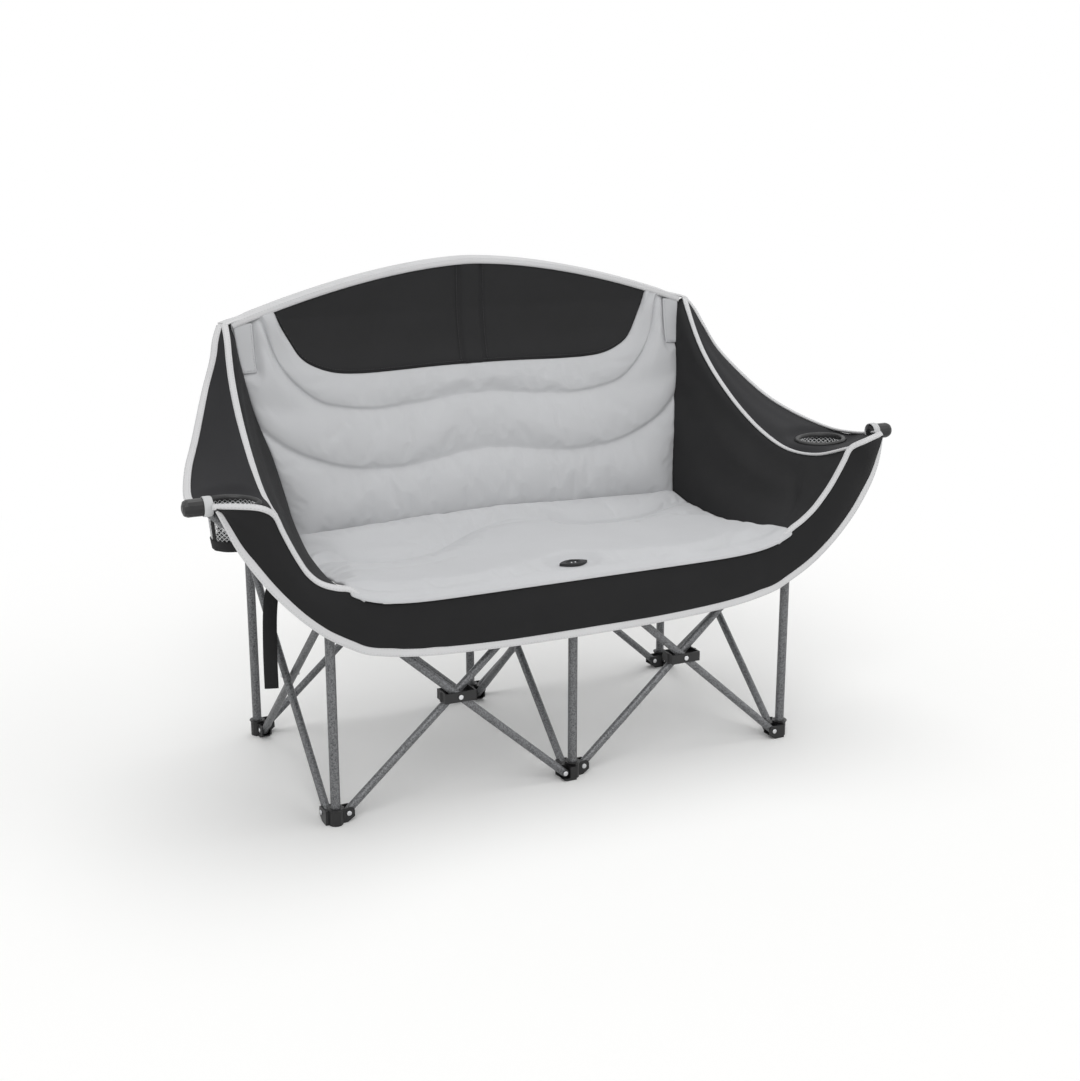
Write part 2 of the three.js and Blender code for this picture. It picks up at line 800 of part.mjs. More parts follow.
for (const side of [-1, 1]) {
  const name = side < 0 ? 'left' : 'right';
  place(`${name}_arm_top`, geometryOf(armTopSolid(side)), materials.blackCloth);
  const panel = sheetGeometry(sideSurface(side, true), sideSurface(side, false), armColumns, 4);
  place(`${name}_side_panel`, panel, materials.blackCloth);
}

// Front apron: one band from arm tip to arm tip, low across the seat front

function apronTopAt(x) {
  const climb = smooth(Math.abs(x), apronRiseStart, apronTopHalfWidth);
  return lerp(apronTopHeight, armFrontHeight - clearance, climb);
}

function apronLowAt(x) {
  return lerp(apronLowHeight, apronTipLow, (Math.abs(x) / apronLowHalfWidth) ** apronExponent);
}

function apronSurface(isFront) {
  return (u, v) => {
    const middle = lerp(-1, 1, u);
    const low = middle * apronLowHalfWidth;
    const high = middle * apronTopHalfWidth;
    const fold = apronFold * Math.sin(Math.PI * Math.abs(middle)) * Math.sin(Math.PI * v) ** 2;
    const inner = seatFront - clearance - armBulge * smooth(Math.abs(middle), ...armBulgeShares) - fold;
    const y = isFront ? inner - clothThickness : inner;
    return [lerp(low, high, v), y, lerp(apronLowAt(low), apronTopAt(high), v)];
  };
}

place('front_apron', sheetGeometry(apronSurface(true), apronSurface(false), 24, 4), materials.blackCloth);

// Cup holders: a ring held in the arm cloth and a mesh pouch inside it

for (const side of [-1, 1]) {
  const name = side < 0 ? 'left' : 'right';
  const ring = pipe(cupRingDiameter / 2, cupRingBore / 2, cupRingHeight, cupSides);
  place(`${name}_cup_ring`, ring, materials.plastic, [side * cup.x, cup.y, cupRingBase]);
  const lip = cupRingBore / 2 - clearance;
  const base = cupBottomDiameter / 2;
  const pouch = revolve([
    [0, 0], [base, 0], [lip, cupDepth], [lip - cupWall, cupDepth], [base - cupWall, cupFloor], [0, cupFloor],
  ], cupSides);
  const bottom = cupRingBase + cupRingHeight - clearance - cupDepth;
  place(`${name}_cup_pouch`, pouch, materials.greyMesh, [side * cup.x, cup.y, bottom]);
}

// Webbing loops round the long diagonals tie the arm cloth to the tips

function loopSolid(side) {
  const bore = tubeRadius + clearance;
  const sleeve = pipe(bore + sleeveWall, bore, sleeveLength, tubeSides).rotateY(Math.PI / 2);
  sleeve.translate(-sleeveLength / 2, 0, 0).rotateY(side < 0 ? tilt - Math.PI : -tilt);
  const solid = solidOf(sleeve);
  const height = loopTabTop - loopHeight;
  const tab = block([sleeveLength / 2, sleeveWall, height], [0, bore + sleeveWall / 2, height / 2]);
  return solid.add(solidOf(tab));
}

const loopHeight = footPivotHeight + (loopAcross - pivotInset) * Math.tan(tilt);
const loopTabTop = armFrontHeight - 2 * armSag;
for (const side of [-1, 1]) {
  const name = side < 0 ? 'left' : 'right';
  const centre = [side * loopAcross, frontRow + longOffset[side], loopHeight];
  place(`${name}_arm_loop`, geometryOf(loopSolid(side)), materials.greyWebbing, centre);
}

// Carrying strap, hanging outside the left scissor

const strapHigh = seatUnderside - clearance;

function strapSurface(isOuter) {
  return (u, v) => {
    const y = lerp(carryStrapWidth / 2, -carryStrapWidth / 2, u);
    const out = carryStrapOut * Math.sin(Math.min(1, (1 - v) / carryStrapTurnShare) * Math.PI / 2);
    const x = -(seatHalfWidth + clothThickness + out) - (isOuter ? carryStrapThickness : 0);
    return [x, y, strapHigh - carryStrapDrop * (1 - v)];
  };
}

place('carry_strap', sheetGeometry(strapSurface(true), strapSurface(false), 1, 14), materials.webbing);

// The origin lies on the floor under the middle of the whole outline
const outlineBox = new THREE.Box3().setFromObject(loveseat);
const depthShift = -(outlineBox.min.y + outlineBox.max.y) / 2;
for (const piece of loveseat.children) {
  piece.position.y += depthShift;
}

export default loveseat;
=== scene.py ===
import math

import bpy
from mathutils import Matrix, Vector, noise


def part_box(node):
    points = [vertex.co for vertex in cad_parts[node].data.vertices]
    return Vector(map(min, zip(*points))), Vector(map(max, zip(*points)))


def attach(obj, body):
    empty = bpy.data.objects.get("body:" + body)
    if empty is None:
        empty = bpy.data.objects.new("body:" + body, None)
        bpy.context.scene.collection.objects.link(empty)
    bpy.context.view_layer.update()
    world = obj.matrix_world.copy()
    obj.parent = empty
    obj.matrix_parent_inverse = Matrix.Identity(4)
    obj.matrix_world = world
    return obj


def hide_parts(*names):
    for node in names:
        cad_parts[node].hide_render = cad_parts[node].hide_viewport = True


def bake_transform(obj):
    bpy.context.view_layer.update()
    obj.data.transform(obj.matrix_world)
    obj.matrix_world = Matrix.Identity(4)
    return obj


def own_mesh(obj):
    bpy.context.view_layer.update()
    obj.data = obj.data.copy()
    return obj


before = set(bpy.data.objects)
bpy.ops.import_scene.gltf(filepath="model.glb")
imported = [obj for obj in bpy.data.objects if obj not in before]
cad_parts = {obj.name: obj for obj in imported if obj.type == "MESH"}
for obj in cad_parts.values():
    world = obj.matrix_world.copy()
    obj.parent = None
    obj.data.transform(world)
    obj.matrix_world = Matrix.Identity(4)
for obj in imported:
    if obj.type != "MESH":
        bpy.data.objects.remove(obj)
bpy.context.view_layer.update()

# Studio: a pale floor that runs out into a white background, a large soft light from the
# front left, a weaker one from the right and one from above, at a level at which the
# cloth shows its own colour. The camera stands low in front, to the left.

floor_white = "FAFAF9"
pure_white = (1, 1, 1, 1)
ambient_strength = 0.5
floor_size = 60
floor_level = -0.0005
fade_start = 0.9
fade_end = 2.6
lamps = (
    ("key_softbox", (-1.6, -3.0, 3.4), 0.95, 40),
    ("fill_softbox", (3.6, -2.0, 2.4), 0.4, 60),
    ("top_softbox", (0.3, 0.6, 4.0), 0.95, 50))
lamp_target = Vector((0, 0, 0.4))
camera_place = Vector((-1.41656, -2.92373, 1.32673))
camera_target = Vector((0.0535, 0.02198, 0.4320))
camera_lens = 53.29
camera_sensor = 36


def linear(hex_code):
    """An sRGB colour, written as hex, in the linear values that the nodes take."""
    channels = [int(hex_code[start:start + 2], 16) / 255 for start in (0, 2, 4)]
    bent = [c / 12.92 if c <= 0.04045 else ((c + 0.055) / 1.055) ** 2.4 for c in channels]
    return (*bent, 1)


def set_inputs(tree, node, inputs):
    """Gives each input of a node a link from another node's socket, or a constant."""
    for socket, value in inputs.items():
        if isinstance(value, bpy.types.NodeSocket):
            tree.links.new(value, node.inputs[socket])
        else:
            node.inputs[socket].default_value = value


def add_node(tree, kind, inputs, **settings):
    made = tree.nodes.new(kind)
    for setting, value in settings.items():
        setattr(made, setting, value)
    set_inputs(tree, made, inputs)
    return made


def combined(tree, operation, first, second):
    return add_node(tree, "ShaderNodeMath", {0: first, 1: second}, operation=operation).outputs[0]


def select_only(*pieces):
    """Selects these pieces and no others, and makes the first one active."""
    for other in bpy.context.selected_objects:
        other.select_set(False)
    for piece in pieces:
        piece.select_set(True)
    if pieces:
        bpy.context.view_layer.objects.active = pieces[0]


def linked(thing):
    bpy.context.scene.collection.objects.link(thing)
    return thing


def duplicate(piece):
    twin = piece.copy()
    twin.data = piece.data.copy()
    return linked(twin)


def aim(thing, place, target):
    thing.location = place
    thing.rotation_euler = (target - place).to_track_quat("-Z", "Y").to_euler()


def enter(mode):
    bpy.ops.object.mode_set(mode=mode)


def to_background(tree):
    path = add_node(tree, "ShaderNodeLightPath", {}).outputs
    glossy = combined(tree, "MAXIMUM", path["Is Camera Ray"], path["Is Glossy Ray"])
    return combined(tree, "MAXIMUM", glossy, path["Is Transmission Ray"])


world = bpy.data.worlds.new("white_surround")
world.use_nodes = True
world.node_tree.nodes.clear()
ambient, backdrop = (
    add_node(world.node_tree, "ShaderNodeBackground", {"Color": pure_white, "Strength": strength})
    for strength in (ambient_strength, 1))
surround = add_node(world.node_tree, "ShaderNodeMixShader", {
    0: to_background(world.node_tree), 1: ambient.outputs[0], 2: backdrop.outputs[0]})
add_node(world.node_tree, "ShaderNodeOutputWorld", {"Surface": surround.outputs[0]})
bpy.context.scene.world = world
bpy.context.scene.view_settings.view_transform = "Standard"

select_only()
bpy.ops.mesh.primitive_plane_add(size=floor_size, location=(0, 0, floor_level))
floor = bpy.context.active_object
floor.name = "studio_floor"
floor_paint = bpy.data.materials.new("matt_white_floor")
floor_paint.use_nodes = True
floor_tree = floor_paint.node_tree
floor_tree.nodes.clear()
floor_matt = add_node(floor_tree, "ShaderNodeBsdfDiffuse", {"Color": linear(floor_white)})
floor_glow = add_node(floor_tree, "ShaderNodeEmission", {"Color": pure_white, "Strength": 1})
floor_place = add_node(floor_tree, "ShaderNodeTexCoord", {}).outputs["Object"]
floor_reach = add_node(floor_tree, "ShaderNodeVectorMath", {0: floor_place}, operation="LENGTH")
floor_fade = add_node(floor_tree, "ShaderNodeMapRange", {
    "Value": floor_reach.outputs["Value"], "From Min": fade_start, "From Max": fade_end},
    interpolation_type="SMOOTHSTEP")
floor_share = combined(floor_tree, "MULTIPLY", floor_fade.outputs[0], to_background(floor_tree))
floor_mix = add_node(floor_tree, "ShaderNodeMixShader", {
    0: floor_share, 1: floor_matt.outputs[0], 2: floor_glow.outputs[0]})
add_node(floor_tree, "ShaderNodeOutputMaterial", {"Surface": floor_mix.outputs[0]})
floor.data.materials.append(floor_paint)

for lamp_name, place, strength, spread_angle in lamps:
    lamp = bpy.data.lights.new(lamp_name, "SUN")
    lamp.energy = strength
    lamp.angle = math.radians(spread_angle)
    aim(linked(bpy.data.objects.new(lamp_name, lamp)), Vector(place), lamp_target)

camera_data = bpy.data.cameras.new("camera")
camera_data.lens = camera_lens
camera_data.sensor_width = camera_sensor
camera_data.sensor_fit = "HORIZONTAL"
camera = linked(bpy.data.objects.new("camera", camera_data))
aim(camera, camera_place, camera_target)
bpy.context.scene.camera = camera

# Steel tubes of the folding frame: round tube, 19 mm for the posts and 16 mm for the
# crossing tubes, cut square, open at the ends and coated in dark grey hammered paint,
# whose skin draws together into lighter and darker cells of about 2 mm. The inner slide
# tubes have a smooth lighter coat.

bay = 0.510
row_depth = 0.255
leg_low, leg_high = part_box("front_middle_leg")
depth_shift = (leg_low[1] + leg_high[1]) / 2 + row_depth
pivot_inset = 0.026
foot_pivot = 0.018
hub_pivot = 0.426
layer_offset = 0.009
arm_reach = 0.735
tube_radius = 0.008
tube_overhang = 0.008
tube_wall = 0.0012
tube_sides = 28
bore_depth = 6 * tube_wall
post_radius = 0.0095
slide_radius = 0.0079
hammer_cell = 0.0022
enamel_cell = 0.004
end_facing = 0.9
tube_crease = math.radians(40)


def new_material(name):
    """A material with its node tree, its shader and the coordinates of its piece."""
    material = bpy.data.materials.new(name)
    material.use_nodes = True
    tree = material.node_tree
    place = add_node(tree, "ShaderNodeTexCoord", {}).outputs
    return material, tree, tree.nodes["Principled BSDF"], place


def spread(tree, value, reading, result=(0, 1)):
    """Maps a reading's range, from low to high, to a range of results."""
    return add_node(tree, "ShaderNodeMapRange", {
        "Value": value, "From Min": reading[0], "From Max": reading[1],
        "To Min": result[0], "To Max": result[1]}).outputs[0]


def bumped(tree, height, strength, distance):
    return add_node(tree, "ShaderNodeBump", {
        "Height": height, "Strength": strength, "Distance": distance}).outputs[0]


def paint_material(name, dark, light, cell):
    material, tree, shader, place = new_material(name)
    cells = add_node(tree, "ShaderNodeTexVoronoi", {
        "Vector": place["Object"], "Scale": 1 / cell, "Randomness": 1}, feature="SMOOTH_F1")
    cells = cells.outputs["Distance"]
    flow = add_node(tree, "ShaderNodeTexNoise", {
        "Vector": place["Object"], "Scale": 0.5 / cell, "Detail": 4}).outputs["Fac"]
    tint = spread(tree, combined(tree, "ADD", cells, flow), (0.55, 1.1))
    colour = add_node(tree, "ShaderNodeMix", {0: tint, 6: linear(dark), 7: linear(light)}, data_type="RGBA")
    set_inputs(tree, shader, {
        "Base Color": colour.outputs[2], "Normal": bumped(tree, cells, 0.35, cell * 0.2),
        "Metallic": 0.35, "Roughness": 0.42})
    return material


hammered_paint = paint_material("hammered_grey_stove_enamel", "3A3B3C", "78797B", hammer_cell)
smooth_paint = paint_material("smooth_grey_enamel", "8C8E90", "A2A4A6", enamel_cell)


def at(x, y, z):
    """A place in the shared frame, from one measured from the middle of the six feet."""
    return Vector((x, y + depth_shift, z))


def own_place(*pieces):
    """Puts each piece's place and turn in its mesh, so the object sits at the origin."""
    select_only(*pieces)
    bpy.ops.object.transform_apply(location=True, rotation=True, scale=True)


def select_faces(piece, wanted):
    enter("EDIT")
    bpy.ops.mesh.select_mode(type="FACE")
    bpy.ops.mesh.select_all(action="DESELECT")
    enter("OBJECT")
    for face in piece.data.polygons:
        face.select = wanted(face)
    enter("EDIT")


def fasten(piece, body, slot=None, *replaced):
    """Puts a piece on a body of the frame, in the place of the solids that it shows."""
    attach(piece, body)
    if replaced:
        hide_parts(*replaced)


def round_tube(name, low, high, radius, material):
    select_only()
    span = high - low
    bpy.ops.mesh.primitive_cylinder_add(
        vertices=tube_sides, radius=radius, depth=span.length, location=(low + high) / 2,
        rotation=span.to_track_quat("Z", "Y").to_euler())
    piece = bpy.context.active_object
    piece.name = name
    select_faces(piece, lambda face: abs(face.normal.z) > end_facing)
    bpy.ops.mesh.inset(thickness=tube_wall, use_individual=True)
    bpy.ops.mesh.extrude_region_shrink_fatten(TRANSFORM_OT_shrink_fatten={"value": -bore_depth})
    enter("OBJECT")
    own_place(piece)
    bpy.ops.object.shade_smooth_by_angle(angle=tube_crease)
    piece.data.materials.append(material)
    return piece


both_sides = (("left", -1), ("right", 1))
posts = {
    f"{row}_{side}": Vector((x, y, 0))
    for row, y in (("front", -row_depth), ("back", row_depth))
    for side, x in (("left", -bay), ("middle", 0), ("right", bay))
}
bays = (
    ("front_left", "front_middle", "front_left", -layer_offset),
    ("front_right", "front_middle", "front_right", layer_offset),
    ("back_left", "back_middle", "back_left", -layer_offset),
    ("back_right", "back_middle", "back_right", layer_offset),
    ("left_side", "front_left", "back_left", -layer_offset),
    ("middle", "front_middle", "back_middle", -layer_offset),
    ("right_side", "front_right", "back_right", -layer_offset),
)
tilt = math.atan2(hub_pivot - foot_pivot, bay - 2 * pivot_inset)
foot_rivets = []
hub_rivets = []
crossing_rivets = []
for bay_name, near, far, offset in bays:
    in_front = bay_name.startswith("front")
    ends = ("long_diagonal", "short_diagonal") if in_front else ("cross_tube_a", "cross_tube_b")
    for kind, start, stop, aside in ((ends[0], near, far, offset), (ends[1], far, near, -offset)):
        along = (posts[stop] - posts[start]).normalized()
        sideways = Vector((0, 1, 0)) if abs(along.x) > 0.5 else Vector((1, 0, 0))
        low = at(*(posts[start] + along * pivot_inset + sideways * aside + Vector((0, 0, foot_pivot))))
        high = at(*(posts[stop] - along * pivot_inset + sideways * aside + Vector((0, 0, hub_pivot))))
        slope = (high - low).normalized()
        end = high + slope * tube_overhang
        if kind == "long_diagonal":
            end = low + slope * (arm_reach - pivot_inset) / math.cos(tilt)
        node_name = f"{bay_name}_{kind}"
        tube = round_tube(f"{node_name}_tube", low - slope * tube_overhang, end, tube_radius, hammered_paint)
        fasten(tube, node_name, "tube", node_name)
        foot_rivets.append((start, low, sideways))
        hub_rivets.append((stop, high, sideways))
    middle = at(*((posts[near] + posts[far]) / 2 + Vector((0, 0, (foot_pivot + hub_pivot) / 2))))
    crossing_rivets.append((bay_name, in_front, middle, sideways))


def upright_body(post_name):
    return f"{post_name}_leg" if post_name.startswith("front") else f"{post_name}_post"


def upright_tube(name, spot, node_name, radius, material):
    """A tube that stands at a post's place and is as high as the node that it shows."""
    low_corner, high_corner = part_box(node_name)
    ends = (at(spot.x, spot.y, corner[2]) for corner in (low_corner, high_corner))
    return round_tube(name, *ends, radius, material)


for post_name, spot in posts.items():
    node_name = upright_body(post_name)
    tube = upright_tube(f"{node_name}_tube", spot, node_name, post_radius, hammered_paint)
    fasten(tube, node_name, "tube", node_name)
    if post_name.startswith("front"):
        inner_name = f"{post_name}_slide_tube"
        inner = upright_tube(f"{inner_name}_bar", spot, inner_name, slide_radius, smooth_paint)
        fasten(inner, f"{post_name}_hub", "slide_tube", inner_name)

# Feet, sliding hubs, crossing brackets and arm tips: black glass-filled nylon, injection
# moulded, with a spark-eroded skin, a little glossier where hands rub it. The real grain
# is about 0.1 mm; it is drawn at 1.2 mm, so that it shows.

nylon_grain = 0.0012
rubbed_scale = 22


def shaded(tree, colour, share):
    """A colour made lighter or darker by a share that varies over the surface."""
    return add_node(tree, "ShaderNodeVectorMath", {
        0: linear(colour)[:3], "Scale": share}, operation="SCALE").outputs[0]


def nylon_material(name, colour, grain):
    material, tree, shader, place = new_material(name)
    skin, rubbed = (
        add_node(tree, "ShaderNodeTexNoise", {
            "Vector": place["Object"], "Scale": scale, "Detail": detail}).outputs["Fac"]
        for scale, detail in ((1 / grain, 4), (rubbed_scale, 2)))
    set_inputs(tree, shader, {
        "Roughness": spread(tree, rubbed, (0.35, 0.65), (0.38, 0.55)),
        "Base Color": shaded(tree, colour, spread(tree, skin, (0.3, 0.7), (0.85, 1.2))),
        "Normal": bumped(tree, skin, 0.25, grain * 0.3)})
    return material


black_nylon = nylon_material("moulded_black_nylon", "171718", nylon_grain)
for cad_name, cad_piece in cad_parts.items():
    if cad_name.endswith(("_foot", "_hub", "_bracket", "_cap", "_plate")):
        cad_piece.data.materials.clear()
        cad_piece.data.materials.append(black_nylon)

# Rivets: bright zinc-plated steel with low domed heads and fine rolling marks, one head on
# each cheek of a foot or hub and on each side of a crossing. Their shanks are part of the
# solids that they hold.

rivet_radius = 0.0049
rivet_height = 0.0023
foot_cheek = 0.0113
bracket_face = 0.0203
crossing_face = 0.017
dome_steps = ((0.2, 0.105), (0.24, 0.066), (0.32, 0.036))
rolling_scale = 900

zinc, zinc_tree, zinc_shader, zinc_place = new_material("zinc_plated_steel")
zinc_marks = add_node(zinc_tree, "ShaderNodeTexNoise", {
    "Vector": zinc_place["Object"], "Scale": rolling_scale, "Detail": 3}).outputs["Fac"]
set_inputs(zinc_tree, zinc_shader, {
    "Roughness": spread(zinc_tree, zinc_marks, (0, 1), (0.18, 0.38)),
    "Base Color": linear("D5D6D8"), "Metallic": 1})

select_only()
bpy.ops.mesh.primitive_cylinder_add(vertices=20, radius=rivet_radius, depth=rivet_height)
rivet_master = bpy.context.active_object
for corner in rivet_master.data.vertices:
    corner.co.z += rivet_height / 2
select_faces(rivet_master, lambda face: face.normal.z > end_facing)
for inward, upward in dome_steps:
    bpy.ops.mesh.inset(thickness=rivet_radius * inward)
    bpy.ops.transform.translate(value=(0, 0, rivet_height * upward))
enter("OBJECT")
dome_top = max(corner.co.z for corner in rivet_master.data.vertices)
rivet_master.data.transform(Matrix.Scale(rivet_height / dome_top, 4, (0, 0, 1)))
bpy.ops.object.shade_smooth()

rivet_places = [(upright_body(post_name), *place, foot_cheek) for post_name, *place in foot_rivets]
rivet_places += [(f"{post_name}_hub", *place, foot_cheek) for post_name, *place in hub_rivets]
for bay_name, in_front, spot, sideways in crossing_rivets:
    if in_front:
        rivet_places.append((f"{bay_name}_crossing_bracket", spot, sideways, bracket_face))
    else:
        rivet_places.append((f"{bay_name}_cross_tube_a", spot, sideways, crossing_face))
heads = {}
for body, spot, sideways, reach in rivet_places:
    for way in (1, -1):
        head = duplicate(rivet_master)
        turn = (sideways * way).to_track_quat("Z", "Y").to_matrix().to_4x4()
        head.data.transform(Matrix.Translation(spot + sideways * way * reach) @ turn)
        heads.setdefault(body, []).append(head)


def joined(name, pieces):
    """One piece at the origin, made of several."""
    own_place(*pieces)
    bpy.ops.object.join()
    pieces[0].name = name
    return pieces[0]


for body, copies in heads.items():
    rivets = joined(f"{body}_rivets", copies)
    rivets.data.materials.append(zinc)
    fasten(rivets, body)
bpy.data.objects.remove(rivet_master)

# Cloth: solution-dyed polyester in a plain weave with a matt face, light grey for the seat
# and back, near black elsewhere. Real threads are half a millimetre apart; the weave is
# drawn at 2 mm, as fine as it still shows, and the folded binding tape at 2.5 mm.

thread_pitch = 0.002
tape_pitch = 0.0025
cloud_scale = 9


def woven_material(name, colour, pitch, mottle, roughness, sheen):
    """A plain weave: two sets of threads, clouded a little by wear and dye."""
    material, tree, shader, place = new_material(name)
    threads = [add_node(tree, "ShaderNodeTexWave", {
        "Vector": place["UV"], "Scale": math.pi / 10 / pitch},
        bands_direction=way).outputs["Fac"] for way in ("X", "Y")]
    weave = combined(tree, "MULTIPLY", *threads)
    cloudy = add_node(tree, "ShaderNodeTexNoise", {
        "Vector": place["Object"], "Scale": cloud_scale, "Detail": 5, "Roughness": 0.6}).outputs["Fac"]
    shade = combined(
        tree, "MULTIPLY", spread(tree, cloudy, (0.3, 0.7), (1 - mottle, 1 + mottle)),
        spread(tree, weave, (0, 1), (0.97, 1.03)))
    set_inputs(tree, shader, {
        "Base Color": shaded(tree, colour, shade), "Normal": bumped(tree, weave, 0.3, pitch * 0.2),
        "Roughness": roughness, "Sheen Weight": sheen, "Specular IOR Level": 0.25})
    return material


grey_polyester = woven_material("woven_grey_polyester", "C2C3C5", thread_pitch, 0.02, 0.85, 0.1)
black_polyester = woven_material("woven_black_polyester", "242425", thread_pitch, 0.08, 0.75, 0)
# The apron is the same black cloth; its darker copy is painted shade, for the shade that it hangs in below
# the seat's front edge.
apron_painted_shade_polyester = woven_material("woven_black_polyester_painted_apron_shade", "1C1C1D", thread_pitch, 0.08, 0.8, 0)
# The arm tops take a copy of the black cloth darkened a little as painted shade, against the lamp from above
# that lights them.
arm_painted_shade_polyester = woven_material("woven_black_polyester_painted_arm_shade", "232325", thread_pitch, 0.07, 0.78, 0)
binding_tape = woven_material("woven_grey_binding_tape", "CFCFD0", tape_pitch, 0.03, 0.8, 0.1)


def clamped(share):
    return min(1, max(0, share))


fine_steps = 16


def line_through(points, count=64):
    """A smooth line through the points, as places a share of its length apart."""
    dots = [Vector(p) for p in points]
    chain = [dots[0] * 2 - dots[1], *dots, dots[-1] * 2 - dots[-2]]
    fine = []
    for p0, p1, p2, p3 in zip(chain, chain[1:], chain[2:], chain[3:]):
        for step in range(fine_steps):
            t = step / fine_steps
            fine.append(0.5 * (2 * p1 + (p2 - p0) * t + (2 * p0 - 5 * p1 + 4 * p2 - p3) * t ** 2
                               + (3 * p1 - p0 - 3 * p2 + p3) * t ** 3))
    fine.append(dots[-1])
    lengths = [0]
    for a, b in zip(fine, fine[1:]):
        lengths.append(lengths[-1] + (b - a).length)
    even = []
    spot = 0
    for step in range(count + 1):
        wanted = lengths[-1] * step / count
        while spot < len(fine) - 2 and lengths[spot + 1] < wanted:
            spot += 1
        part = (wanted - lengths[spot]) / max(1e-9, lengths[spot + 1] - lengths[spot])
        even.append(fine[spot].lerp(fine[spot + 1], clamped(part)))

    def place(share):
        along = clamped(share) * count
        low = min(count - 1, int(along))
        return even[low].lerp(even[low + 1], along - low)

    return place


def mirrored(place, side):
    return lambda *shares: place(*shares) * Vector((side, 1, 1))


def spanned(low, high, start, end):
    """The surface that four lines enclose: low and high run one way, start and end the other."""
    def place(u, v):
        ruled = low(u).lerp(high(u), v) + start(v).lerp(end(v), u)
        corners = low(0).lerp(low(1), u).lerp(high(0).lerp(high(1), u), v)
        return ruled - corners
    return place


def line_length(line, count):
    return sum((line((k + 1) / count) - line(k / count)).length for k in range(count))


def cloth_mesh(name, place, across, up, outward):
    """A net of quads on a surface, with its real size in the UV map, its face turned outward."""
    select_only()
    bpy.ops.mesh.primitive_grid_add(x_subdivisions=across, y_subdivisions=up, size=1)
    piece = bpy.context.active_object
    piece.name = name
    shares = [(corner.co.x + 0.5, corner.co.y + 0.5) for corner in piece.data.vertices]
    for corner, (u, v) in zip(piece.data.vertices, shares):
        corner.co = at(*place(u, v))
    width = line_length(lambda share: place(share, 0.5), 20)
    height = line_length(lambda share: place(0.5, share), 20)
    for spot in piece.data.uv_layers[0].data:
        spot.uv = (spot.uv[0] * width, spot.uv[1] * height)
    piece.data.update()
    area = sum(face.area for face in piece.data.polygons)
    facing = sum((face.normal * face.area for face in piece.data.polygons), Vector())
    if facing.dot(Vector(outward)) < 0:
        piece.data.flip_normals()
    return piece, (width, height), area


def apply_modifier(piece, kind, **settings):
    select_only(piece)
    modifier = piece.modifiers.new(kind.lower(), kind)
    for setting, value in settings.items():
        setattr(modifier, setting, value)
    bpy.ops.object.modifier_apply(modifier=modifier.name)


def thicken(piece, thickness, offset=-1):
    """Gives a sheet its thickness, and rounds it."""
    apply_modifier(piece, "SOLIDIFY", thickness=thickness, offset=offset, use_even_offset=False)
    apply_modifier(piece, "SUBSURF", levels=1, render_levels=1)
    bpy.ops.object.shade_smooth()


# Stitching and binding: bonded polyester thread, light grey or black, in lockstitches
# 4 mm long. Real thread is about 0.4 mm thick; it is drawn at 1.2 mm, so that a row shows.
# The edges are bound in folded tape, sewn down with two rows.

sewing_thread = woven_material("grey_sewing_thread", "B9BABC", 0.0006, 0.05, 0.6, 0)
dark_thread = woven_material("black_sewing_thread", "3A3A3B", 0.0006, 0.05, 0.6, 0)
stitch_pitch = 0.0065
stitch_long = 0.0042
stitch_wide = 0.0012
stitch_high = 0.0008
stitch_taper = 0.6
piece_crease = math.radians(60)
tape_sides = 12
tape_rows = (-0.3, 0.3)
row_lift = 0.42
quad = ((-1, -1), (1, -1), (1, 1), (-1, 1))


def toward(*direction):
    return lambda share: Vector(direction)


def frame_along(line, facing, share):
    ahead = (line(min(1, share + 0.01)) - line(max(0, share - 0.01))).normalized()
    up = facing(share)
    up = (up - ahead * up.dot(ahead)).normalized()
    return line(share), ahead, up, ahead.cross(up)


def stitch_row(line, facing, aside, lift):
    """Stitches in a row along a line, each a small block of thread on the surface."""
    corners, faces = [], []
    count = max(2, round(line_length(line, 40) / stitch_pitch))
    for k in range(count):
        spot, ahead, up, across = frame_along(line, facing, (k + 0.5) / count)
        centre = spot + across * aside + up * lift
        first = len(corners)
        for high, narrow in ((-1, 1), (1, stitch_taper)):
            for lengthwise, sideways in quad:
                corners.append(at(*(
                    centre + ahead * lengthwise * narrow * stitch_long / 2
                    + across * sideways * narrow * stitch_wide / 2 + up * high * stitch_high / 2)))
        faces.append((first + 3, first + 2, first + 1, first))
        faces.append((first + 4, first + 5, first + 6, first + 7))
        for edge in range(4):
            turn = (edge + 1) % 4
            faces.append((first + edge, first + turn, first + 4 + turn, first + 4 + edge))
    return corners, faces


def new_piece(name, corners, faces, materials, kinds=None, coordinates=()):
    """A piece from its corners and faces: kinds picks each face's material."""
    mesh = bpy.data.meshes.new(name)
    mesh.from_pydata(corners, [], faces)
    sheet = mesh.uv_layers.new(name="UVMap")
    for loop in mesh.loops:
        index = loop.vertex_index
        flat = coordinates[index] if index < len(coordinates) else mesh.vertices[index].co.xz
        sheet.data[loop.index].uv = flat
    piece = linked(bpy.data.objects.new(name, mesh))
    for material in materials:
        mesh.materials.append(material)
    if kinds:
        for face, kind in zip(mesh.polygons, kinds):
            face.material_index = kind
    select_only(piece)
    enter("EDIT")
    bpy.ops.mesh.select_all(action="SELECT")
    bpy.ops.mesh.normals_make_consistent(inside=False)
    enter("OBJECT")
    bpy.ops.object.shade_smooth_by_angle(angle=piece_crease)
    return piece


def seam_stitches(name, line, facing, lift, thread):
    return new_piece(name, *stitch_row(line, facing, 0, lift), [thread])


def squared(value, power):
    return math.copysign(abs(value) ** power, value)


